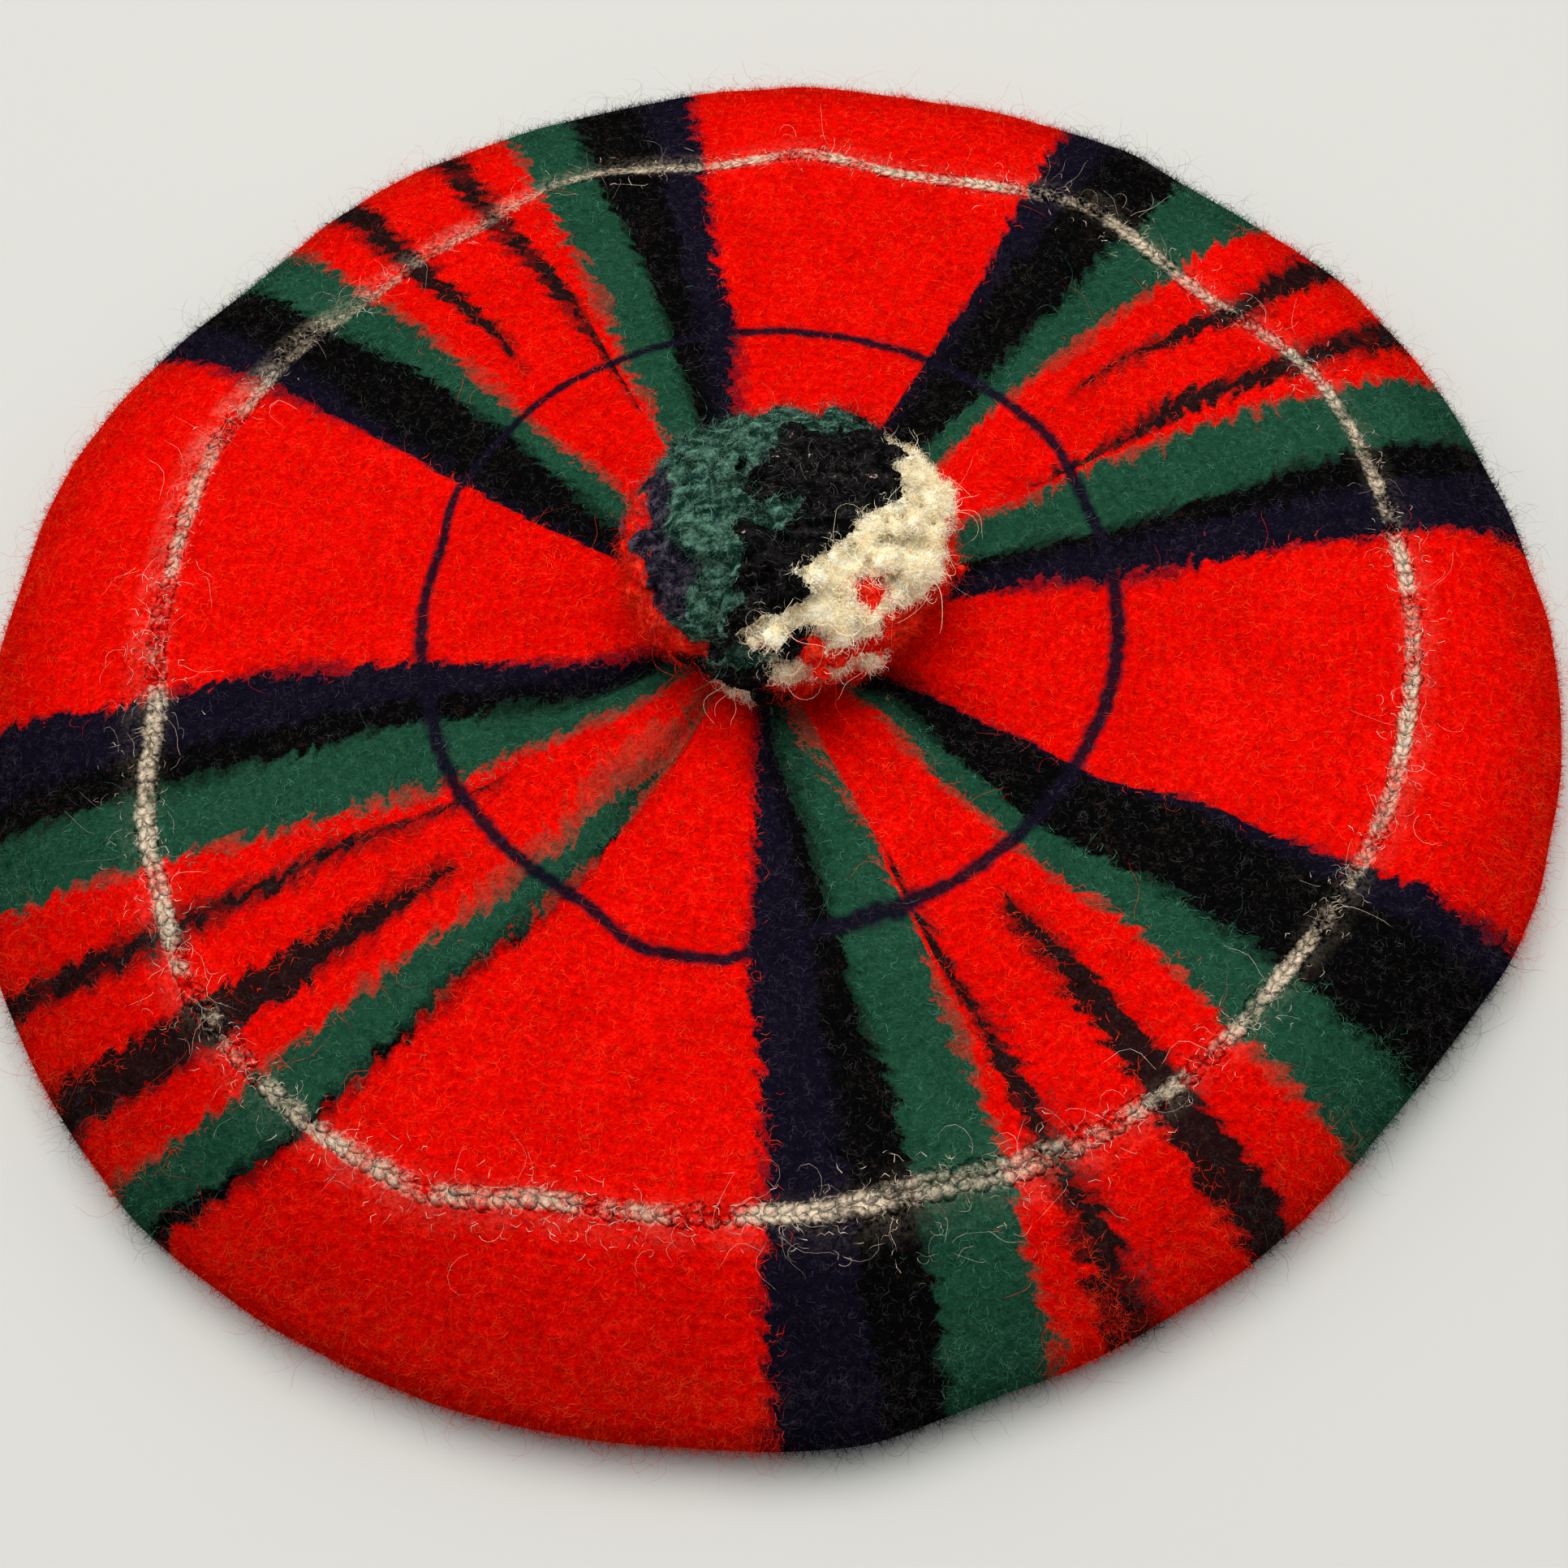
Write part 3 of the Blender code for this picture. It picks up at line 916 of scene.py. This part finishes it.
def make_fibres(name, fibre, places, normals, lift, shades, rng, material, slot):
    """Fibres of one sort rooted at these places, each with its lift and shade, as one object."""
    frames = lying_frames(normals, rng, lift)
    lengths = (fibre.length + fibre.longer * rng.random(len(places)) ** fibre.power) * MM
    widths = (fibre.width + fibre.wider * rng.random(len(places))) * MM
    kinds = rng.integers(len(fibre.curls), size=len(places))
    parts = []
    shading = []
    for kind, curl in enumerate(fibre.curls):
        mine = kinds == kind
        middle, sides, faces = fibre_shape(curl, fibre.segments)
        path = middle[None] * lengths[mine][:, None, None]
        path = path + sides[None] * widths[mine][:, None, None]
        points = places[mine][:, None, :] + np.einsum("nvj,nij->nvi", path, frames[mine])
        points[:, :, 2] = np.maximum(points[:, :, 2], FIBRE_FLOOR)
        shading.append(np.repeat(shades[mine], len(middle)))
        offsets = np.arange(mine.sum())[:, None, None] * len(middle)
        parts.append((points.reshape(-1, 3), (faces[None] + offsets).reshape(-1, 3)))
    fibres = arrays_to_object(name, *joined(parts), material, slot)
    write_values(fibres.data, "shade", np.concatenate(shading))


def surface_samples(mesh, count, rng, names, weight):
    """Random places on a mesh, with their normals and its point attributes of these names."""
    mesh.calc_loop_triangles()
    triangles = read_values(mesh.loop_triangles, "vertices", 3, int)
    points = vertex_array(mesh)
    normals = read_values(mesh.vertices, "normal", 3)
    values = np.array([read_values(mesh.attributes[name].data, "value") for name in names])
    a, b, c = (points[triangles[:, corner]] for corner in range(3))
    area = np.linalg.norm(np.cross(b - a, c - a), axis=1)
    area = area * weight(values[:, triangles].mean(axis=2))
    chosen = triangles[rng.choice(len(area), count, p=area / area.sum())]
    shares = rng.dirichlet((1.0, 1.0, 1.0), count)
    place = (points[chosen] * shares[:, :, None]).sum(axis=1)
    normal = unit((normals[chosen] * shares[:, :, None]).sum(axis=1))
    return place, normal, (values[:, chosen] * shares[None]).sum(axis=2)


# The crown's nap and hairs: their numbers, the most in one piece, the point values that they read,
# and each wool's colours at root and tips
NAP_FIBRES = 108000
HAIRS = 13500
MOST_IN_A_PIECE = 60000
FIBRE_FLOOR = 0.0001
CROWN_VALUES = ("reach", "white_ring", "navy_ring")
NAP_WOOLS = {
    "red": ((0.62, 0.0012, 0.0003), (0.95, 0.065, 0.016)),
    "green": ((0.005, 0.040, 0.023), (0.075, 0.23, 0.145)),
    "navy": ((0.003, 0.0025, 0.008), (0.058, 0.046, 0.074)),
    "black": ((0.001, 0.001, 0.001), (0.052, 0.047, 0.048)),
    "cream": ((0.50, 0.36, 0.28), (0.86, 0.74, 0.60)),
}


def nap_wools(place, values, rng):
    """The wool of each fibre of the crown, by the chart, the two rings and some straying."""
    reach, white, navy = values
    azimuth = azimuth_of(place)
    out = reach * CROWN_RADIUS / MM
    rows = rows_at(azimuth, reach)
    spread = np.where(rng.random(len(place)) < 0.05, 3.6, 0.7)
    deep = np.clip(tooth_share(reach), 0.0, 1.0)
    stray = rng.normal(size=len(place)) * spread * (0.4 + 0.6 * deep)
    stray = stray + 0.6 * teeth(out, rows) * TOOTH_DEPTH * (0.25 + 0.75 * deep)
    rows = rows_at(azimuth + stray / np.maximum(out, SHIFT_FROM) * DEGREES, reach)
    names = np.array(["black" if rows.wool in LINE_DARKNESS else rows.wool for rows in CHART])
    wools = names[wool_at(rows)]
    near = np.maximum(np.abs(white - 0.3) - 0.9, 0.0)
    creamy = rng.random(len(place)) < 0.34 * np.exp(-0.80 * near) - 0.006
    wools = np.where(creamy, "cream", wools)
    return np.where(np.abs(navy) + rng.normal(size=len(place)) * 0.25 < 1.0, "navy", wools)


def fibre_shades(azimuth, chart, rng, spread):
    """Each fibre's shade: the painted shade of the near shoulder and rim, times its own random tone.
    """
    return painted_shoulder_and_rim_shade(azimuth, chart) * (1.0 + spread * (2.0 * rng.random(len(chart)) - 1.0))


def nap_weight(values):
    """Nap is thickest on the rim, and thin on the underside."""
    return np.where(values[0] < 1.1, 1.0 + 1.8 * (values[0] > 0.93), 0.2)


def hair_weight(values):
    """Hairs are thickest on the rim, then along the white ring, and few on the underside."""
    ringed = np.abs(values[1] - 1.0) < 3.5
    return np.where(values[0] < 1.06, 0.6 + 5.0 * (values[0] > 0.94) + 0.9 * ringed, 0.05)


def make_nap(crown, axis):
    """The short raised nap of the crown, in one piece or more for each wool."""
    rng = np.random.default_rng(11)
    place, normal, values = surface_samples(crown.data, NAP_FIBRES, rng, CROWN_VALUES, nap_weight)
    from_axis = place - np.array(axis)
    wools = nap_wools(from_axis, values, rng)
    edge = smooth((values[0] - 0.90) / 0.06) * (values[0] < 1.12)
    shades = fibre_shades(azimuth_of(from_axis), values[0], rng, 0.35)
    for wool, (root, tips) in NAP_WOOLS.items():
        finish = wool_finish(f"{wool}_nap", root, tips)
        mine = np.flatnonzero(wools == wool)
        parts = np.array_split(mine, 1 + len(mine) // MOST_IN_A_PIECE)
        for number, chosen in enumerate(parts):
            name = f"{wool}_nap" + (f"_{number + 1}" if len(parts) > 1 else "")
            lift = 0.04 + (0.45 + 0.6 * edge[chosen]) * rng.random(len(chosen)) ** 2
            make_fibres(
                name, NAP, place[chosen], normal[chosen], lift, shades[chosen], rng,
                finish, "milled_wool",
            )


def make_stray_hairs(crown, axis):
    """Fine long hairs over the crown, thicker round its rim and along the white ring."""
    rng = np.random.default_rng(23)
    place, normal, values = surface_samples(crown.data, HAIRS, rng, CROWN_VALUES, hair_weight)
    from_axis = place - np.array(axis)
    wools = nap_wools(from_axis, values, rng)
    ringed = (np.abs(values[1] - 1.0) < 4.5) & (rng.random(len(wools)) < 0.20)
    wools = np.where(ringed, "cream", wools)
    wools = np.where(wools == "navy", "black", wools)
    shades = fibre_shades(azimuth_of(from_axis), values[0], rng, 0.30)
    for wool in ("red", "black", "green", "cream"):
        finish = wool_finish(f"{wool}_hair", *NAP_WOOLS[wool], 0.8)
        mine = np.flatnonzero(wools == wool)
        lift = 0.05 + 0.8 * rng.random(len(mine)) ** 1.6
        make_fibres(
            f"{wool}_hairs", HAIR, place[mine], normal[mine], lift, shades[mine], rng,
            finish, "milled_wool",
        )


def ellipsoid_shape(subdivisions):
    """A unit ball as arrays."""
    bm = bmesh.new()
    bmesh.ops.create_icosphere(bm, subdivisions=subdivisions, radius=1.0)
    return shape_arrays(bm)


def crown_place(axis, azimuth, reach, tree):
    """Places and normals on the crown's top at these azimuths and reaches."""
    found = []
    for turn, share in zip(azimuth, reach):
        above = axis + direction(turn) * share * CROWN_RADIUS + Vector((0.0, 0.0, 0.1))
        hit, normal, _, _ = tree.ray_cast(above, Vector((0.0, 0.0, -1.0)))
        found.append((hit[:], normal[:]))
    return np.array(found)[:, 0], np.array(found)[:, 1]


def make_ring_stitches(crown, axis, material):
    """The white ring's stitches: a chain of pairs of short legs, half sunk in the felt."""
    rng = np.random.default_rng(5)
    tree = BVHTree.FromObject(crown, bpy.context.evaluated_depsgraph_get())
    count = STITCH_PAIRS
    turns = (np.arange(count) + rng.normal(size=count) * 0.08) * 360.0 / count
    reach = round_table(turns, WHITE_RING, "reach")
    reach = reach * outline_push(reach * CROWN_RADIUS, turns, OUTLINE_FROM)
    width = round_table(turns, WHITE_RING, "width") * CROWN_RADIUS
    parts = []
    ball = ellipsoid_shape(1)
    for side in (-1.0, 1.0):
        offset = side * width * (0.24 + 0.06 * rng.normal(size=count)) / CROWN_RADIUS
        places, normals = crown_place(axis, turns, reach + offset, tree)
        along = np.array([direction(turn + 90.0 + side * 24.0)[:] for turn in turns])
        frames = lying_frames(normals, rng, np.zeros(count), along)
        sizes = np.stack([
            width * (0.32 + 0.07 * rng.normal(size=count)),
            STITCH_HALF_LENGTH * (1.0 + 0.2 * rng.normal(size=count)),
            STITCH_HALF_HEIGHT * (1.0 + 0.3 * rng.normal(size=count)),
        ], -1)
        parts.append(copies(ball, places, frames, np.abs(sizes)))
    stitches = arrays_to_object("white_ring_stitches", *joined(parts), material, "milled_wool")
    points = vertex_array(stitches.data) - np.array(axis)
    turns = azimuth_of(points)
    out = np.hypot(points[:, 0], points[:, 1])
    reach = out / CROWN_RADIUS / outline_push(out, turns, OUTLINE_FROM)
    write_rings(stitches.data, turns, reach)


def ribbed_finish():
    """Plain ribbed knitting in dark wool."""
    finish = Finish("ribbed_wool", specular=0.03)
    around, up = finish.map_sides("ribs")
    side = abs(around % 1.0 - 0.5)
    stitches = ((up + side * 1.2) * math.tau).sine()
    mottle = finish.noise(0.0008, detail=3.0)
    shade = 0.55 + 0.5 * mottle + 0.25 * stitches
    finish.colour(finish.scaled(NAVY, shade * 1.4))
    finish.relief(0.00022 * stitches + 0.0003 * mottle)
    return finish.material


def make_headband(axis, material):
    """A ribbed ring of doubled knitting, turned up inside the head opening."""
    low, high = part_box("headband")
    outer = (high.x - low.x) / 2.0
    inner = outer - BAND_WALL
    ribs = round(math.tau * inner / RIB_PITCH)
    bm = bmesh.new()
    corners = [(inner, 0.0), (outer, 0.0), (outer, high.z), (inner, high.z)]
    verts = [bm.verts.new((0.0, radius, height)) for radius, height in corners]
    bm.faces.new(verts)
    bmesh.ops.bevel(
        bm, geom=bm.verts[:], offset=BAND_EDGE, affect="VERTICES", segments=4, profile=0.5,
        material=-1,
    )
    bmesh.ops.delete(bm, geom=bm.faces[:], context="FACES_ONLY")
    bmesh.ops.subdivide_edges(
        bm, edges=[edge for edge in bm.edges if edge.calc_length() > 0.005], cuts=12,
    )
    bmesh.ops.spin(
        bm, geom=bm.verts[:] + bm.edges[:], cent=(0, 0, 0), axis=(0, 0, -1),
        angle=math.tau, steps=ribs * RIB_STEPS, use_merge=True,
    )
    bmesh.ops.recalc_face_normals(bm, faces=bm.faces)
    mesh = mesh_from(bm, "headband_ribbing")
    points = vertex_array(mesh)
    radius = np.hypot(points[:, 0], points[:, 1])
    turn = azimuth_of(points) / 360.0 * ribs
    wave = np.cos(turn * math.tau)
    inside = smooth((outer - radius) / BAND_WALL)
    deeper = (wave - 1.0) * RIB_DEPTH * 0.5 * (2.0 * inside - 1.0)
    points[:, :2] *= (1.0 - deeper * inside / radius)[:, None]
    points += np.array(axis)
    mesh.vertices.foreach_set("co", points.ravel())
    write_map(mesh, "ribs", turn, ribs, points[:, 2] / RIB_STITCH)
    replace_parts(object_from("headband_ribbing", mesh, material), "headband")


def write_map(mesh, name, across, period, along):
    """UV map from values at points, with the wrap of the first kept out of every face."""
    corners = read_values(mesh.loops, "vertex_index", kind=int)
    sizes = read_values(mesh.polygons, "loop_total", kind=int)
    face_of = np.repeat(np.arange(len(sizes)), sizes)
    values = across[corners]
    low = np.full(len(sizes), np.inf)
    high = np.full(len(sizes), -np.inf)
    np.minimum.at(low, face_of, values)
    np.maximum.at(high, face_of, values)
    split = (high - low)[face_of] > period / 2.0
    values = np.where(split & (values < period / 2.0), values + period, values)
    layer = mesh.uv_layers.new(name=name)
    layer.data.foreach_set("uv", np.stack([values, along[corners]], -1).ravel())


# The pompom's tufts: half sizes across, along and out in mm, by wool, and the grain that fuses them
TUFT_SIZES = {
    "cream": (2.0, 2.2, 1.7),
    "red": (1.9, 2.4, 1.6),
    "black": (2.2, 4.2, 1.8),
    "green": (1.8, 5.0, 1.7),
    "navy": (2.1, 4.2, 1.6),
}
POMPOM_GRAIN = 0.00055


def patch_wools(outward, rng, spread):
    """The wool of each direction from the pompom's middle, by the nearest patch."""
    aims = []
    names = []
    for wool, directions in PATCH_RUNS:
        for azimuth, elevation in directions:
            tilt = math.radians(elevation)
            aims.append((*(direction(azimuth) * math.cos(tilt))[:2], math.sin(tilt)))
            names.append(wool)
    shaken = rng.normal(size=(len(outward), len(aims))) * spread
    return np.array(names)[np.argmax(outward @ np.array(aims).T + shaken, axis=1)]


def wander(points):
    """Waves that shake the edges of the pompom's patches."""
    return np.stack([waves(points, 0.006, seed) for seed in (12, 13, 14)], -1) * 0.10


def even_directions(count, rng):
    """Unit vectors spread evenly over a ball, a little shaken."""
    number = np.arange(count) + 0.5
    height = 1.0 - 2.0 * number / count
    turn = number * math.pi * (3.0 - math.sqrt(5.0))
    flat = np.sqrt(1.0 - height ** 2)
    aims = np.stack([flat * np.cos(turn), flat * np.sin(turn), height], -1)
    return unit(aims + rng.normal(size=aims.shape) * 0.35 / math.sqrt(count))


def seat_height(points, axis):
    """Height of the crown's top below these points, with the gap that joins it to the pompom."""
    reach = np.hypot(points[:, 0] - axis.x, points[:, 1] - axis.y) / CROWN_RADIUS
    heights = np.interp(reach, [row.reach for row in TOP[:8]], [row.height for row in TOP[:8]])
    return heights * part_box("crown")[1].z + POMPOM_SEAT


def rough_pompom(middle, half, rng):
    """A core and its tufts as arrays, not yet fused."""
    upright = np.eye(3)[None]
    parts = [copies(ellipsoid_shape(4), middle[None], upright, half[None] * 0.90)]
    aims = even_directions(TUFTS, rng)
    wools = patch_wools(aims, rng, 0.01)
    normals = unit(aims / half)
    sizes = np.array([TUFT_SIZES[wool] for wool in wools]) * MM
    sizes = sizes * (1.0 + 0.2 * rng.normal(size=(len(aims), 1)))
    sizes = sizes * (1.0 + 0.12 * rng.normal(size=sizes.shape))
    swell = 1.0 + 0.035 * rng.normal(size=len(aims)) + np.where(wools == "cream", 0.03, 0.0)
    places = middle + aims * half * swell[:, None] - normals * sizes[:, 2:] * 0.75
    frames = lying_frames(normals, rng, rng.normal(size=len(aims)) * 0.25)
    parts.append(copies(ellipsoid_shape(2), places, frames, np.abs(sizes)))
    hanging = middle + np.array(direction(HANGING_TUFT_AZIMUTH)) * (half[1] * 0.86)
    hanging = hanging - np.array((0.0, 0.0, HANGING_TUFT_DROP))
    hanging_size = np.array([HANGING_TUFT_SIZE])
    parts.append(copies(ellipsoid_shape(3), hanging[None], upright, hanging_size))
    return joined(parts)


def fused_mesh(points, faces):
    """Overlapping shapes fused by voxels and softened, as a mesh of its own."""
    rough = bpy.data.meshes.new("rough_pompom")
    rough.from_pydata(points.tolist(), [], faces.tolist())
    holder = linked("rough_pompom", rough)
    fused = holder.modifiers.new("fused", "REMESH")
    fused.mode = "VOXEL"
    fused.voxel_size = POMPOM_GRAIN
    soft = holder.modifiers.new("soft", "SMOOTH")
    soft.iterations = 2
    evaluated = holder.evaluated_get(bpy.context.evaluated_depsgraph_get())
    mesh = bpy.data.meshes.new_from_object(evaluated)
    bpy.data.objects.remove(holder)
    mesh.name = "pompom_tufts"
    return mesh


def make_pompom(axis, material):
    """Tufts of felted yarn fused to a core, each wool in its own patches."""
    rng = np.random.default_rng(7)
    half = np.array((POMPOM_WIDTH, POMPOM_DEPTH, POMPOM_HEIGHT)) / 2.0
    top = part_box("pompom")[1].z
    middle = np.array((axis.x + POMPOM_LEAN[0], axis.y + POMPOM_LEAN[1], top - half[2]))
    mesh = fused_mesh(*rough_pompom(middle, half, rng))
    points = vertex_array(mesh)
    outward = unit((points - middle) / half)
    grain = waves(points, 0.0035, 9) * 0.0007 + waves(points, 0.0013, 10) * 0.0005
    points += outward * grain[:, None]
    seat = seat_height(points, axis)
    points[:, 2] = np.where(points[:, 2] < seat, seat, points[:, 2])
    mesh.vertices.foreach_set("co", points.ravel())
    wools = patch_wools(unit(outward + wander(points)), rng, 0.0)
    for wool in ("cream", "red", "green", "navy"):
        write_values(mesh, wool, (wools == wool).astype(float))
    mesh.update()
    pompom = object_from("pompom_tufts", mesh, material)
    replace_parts(pompom, "pompom")
    return pompom, middle, half


# The pompom's fuzz: how many fibres and loose ends, and each wool's colours at root and tips
FUZZ_FIBRES = 40000
LOOSE_ENDS = 110
POMPOM_WOOLS = {
    "black": ((0.0015, 0.0015, 0.0015), (0.044, 0.040, 0.040)),
    "cream": ((1.0, 0.86, 0.57), (1.0, 0.98, 0.80)),
    "red": ((0.80, 0.003, 0.001), (1.0, 0.055, 0.016)),
    "green": ((0.005, 0.028, 0.020), (0.12, 0.26, 0.19)),
    "navy": ((0.007, 0.006, 0.014), (0.10, 0.082, 0.115)),
}


def pompom_finish():
    """Felted yarn: dark wool with patches of the others, streaked along its strands."""
    finish = Finish("pompom_yarn", specular=0.03)
    fine = finish.noise(0.0008, detail=3.0, roughness=0.7)
    clumps = finish.noise(0.0026, detail=2.0)
    strands = finish.noise(0.0012, detail=3.0, stretch=(0.32, 0.8, 1.0))
    streak = ((strands - 0.5) * 4.5 + (fine - 0.5) * 2.0 + (clumps - 0.5) * 2.5 + 0.30).clipped()
    root, tips = POMPOM_WOOLS["black"]
    colour = finish.mix(streak * 0.30, root, tips)
    for wool in ("navy", "green", "red", "cream"):
        root, tips = POMPOM_WOOLS[wool]
        edge = finish.attribute(wool) - 0.5 + (fine - 0.5) * 1.1 + (strands - 0.5) * 1.6
        mask = (edge * 4.0 + 0.5).clipped()
        colour = finish.mix(mask, colour, finish.mix(streak, root, tips))
    finish.colour(colour)
    finish.relief(0.0005 * fine + 0.0007 * strands)
    return finish.material


def make_pompom_fuzz(pompom, middle, half):
    """The pompom's loose ends and curly hairs, by wool."""
    rng = np.random.default_rng(31)
    place, normal, _ = surface_samples(
        pompom.data, FUZZ_FIBRES, rng, ("cream",), lambda values: 1.0 + 1.5 * values[0],
    )
    keep = place[:, 2] > middle[2] - half[2] * (0.35 + 0.6 * rng.random(len(place)))
    place, normal = place[keep], normal[keep]
    count = len(place)
    outward = (place - middle) / half
    outward += wander(place)
    outward += rng.normal(size=outward.shape) * 0.035
    wools = patch_wools(unit(outward), rng, 0.0)
    shades = 0.45 + 1.3 * rng.random(count) ** 2.5
    shades = np.where(wools == "cream", 0.85 + 0.25 * rng.random(count), shades)
    shades = np.where(wools == "black", 0.3 + 4.0 * rng.random(count) ** 5, shades)
    for wool, (root, tips) in POMPOM_WOOLS.items():
        finish = wool_finish(f"pompom_{wool}", root, tips, 0.8)
        mine = np.flatnonzero(wools == wool)
        if wool == "cream":
            fuzz, least, more = CREAM_FUZZ, 0.35, 0.75
        else:
            fuzz, least, more = DARK_FUZZ, 0.10, 0.45
        make_fibres(
            f"pompom_{wool}_fuzz", fuzz, place[mine], normal[mine],
            least + more * rng.random(len(mine)), shades[mine], rng, finish, "pompom_yarn",
        )
        few = rng.choice(mine, min(len(mine), LOOSE_ENDS))
        make_fibres(
            f"pompom_{wool}_hairs", LOOSE_END, place[few], normal[few],
            0.2 + 0.8 * rng.random(len(few)), shades[few] * 1.3, rng, finish, "pompom_yarn",
        )


def make_floor():
    """A plain pale floor."""
    bm = bmesh.new()
    bmesh.ops.create_grid(bm, x_segments=1, y_segments=1, size=3.0)
    floor = linked("floor", mesh_from(bm, "floor"))
    floor.location.z = -0.0002
    finish = Finish("pale_floor", roughness=0.7, specular=0.2)
    finish.colour(finish.mix(finish.noise(0.4), (0.57, 0.57, 0.54), (0.545, 0.55, 0.525)))
    floor.data.materials.append(finish.material)


def make_camera(axis):
    """The photograph's camera."""
    pitch, yaw, roll = (math.radians(a) for a in (CAMERA_PITCH, CAMERA_YAW, CAMERA_ROLL))
    level = math.cos(pitch)
    ahead = Vector((math.sin(yaw) * level, math.cos(yaw) * level, -math.sin(pitch)))
    right = ahead.cross(Vector((0, 0, 1))).normalized()
    up = right.cross(ahead)
    turned = Matrix((right, up, -ahead)).transposed() @ Matrix.Rotation(roll, 3, "Z")
    data = bpy.data.cameras.new("camera")
    data.sensor_width = 36.0
    data.lens = CAMERA_LENS
    camera = linked("camera", data)
    camera.matrix_world = Matrix.Translation(axis + CAMERA_PLACE) @ turned.to_4x4()
    bpy.context.scene.camera = camera


Lamp = namedtuple("Lamp", "name place size energy")
LAMPS = (
    Lamp("overhead_light", (-0.05, 0.32, 2.0), 2.0, 47.0),
    Lamp("left_light", (-1.55, 0.30, 1.05), 1.2, 4.5),
    Lamp("right_light", (1.55, 0.30, 1.05), 1.2, 4.0),
)


def make_light():
    """A large soft light overhead, two weaker ones at the sides, and an even sky."""
    world = bpy.data.worlds.new("sky")
    world.use_nodes = True
    sky = world.node_tree.nodes["Background"]
    sky.inputs["Color"].default_value = (0.95, 0.97, 1.0, 1.0)
    sky.inputs["Strength"].default_value = 0.33
    bpy.context.scene.world = world
    for lamp in LAMPS:
        data = bpy.data.lights.new(lamp.name, "AREA")
        data.shape = "DISK"
        data.size = lamp.size
        data.energy = lamp.energy
        data.color = (1.0, 0.98, 0.95)
        light = linked(lamp.name, data)
        light.location = lamp.place
        light.rotation_euler = (-light.location).to_track_quat("-Z", "Y").to_euler()


axis = crown_axis()
crown = make_crown(axis, tartan_finish())
make_headband(axis, ribbed_finish())
make_ring_stitches(crown, axis, crown.data.materials[0])
pompom, pompom_middle, pompom_half = make_pompom(axis, pompom_finish())
make_pompom_fuzz(pompom, pompom_middle, pompom_half)
make_nap(crown, axis)
make_stray_hairs(crown, axis)
make_floor()
make_camera(axis)
make_light()
bpy.context.scene.view_settings.view_transform = "Standard"
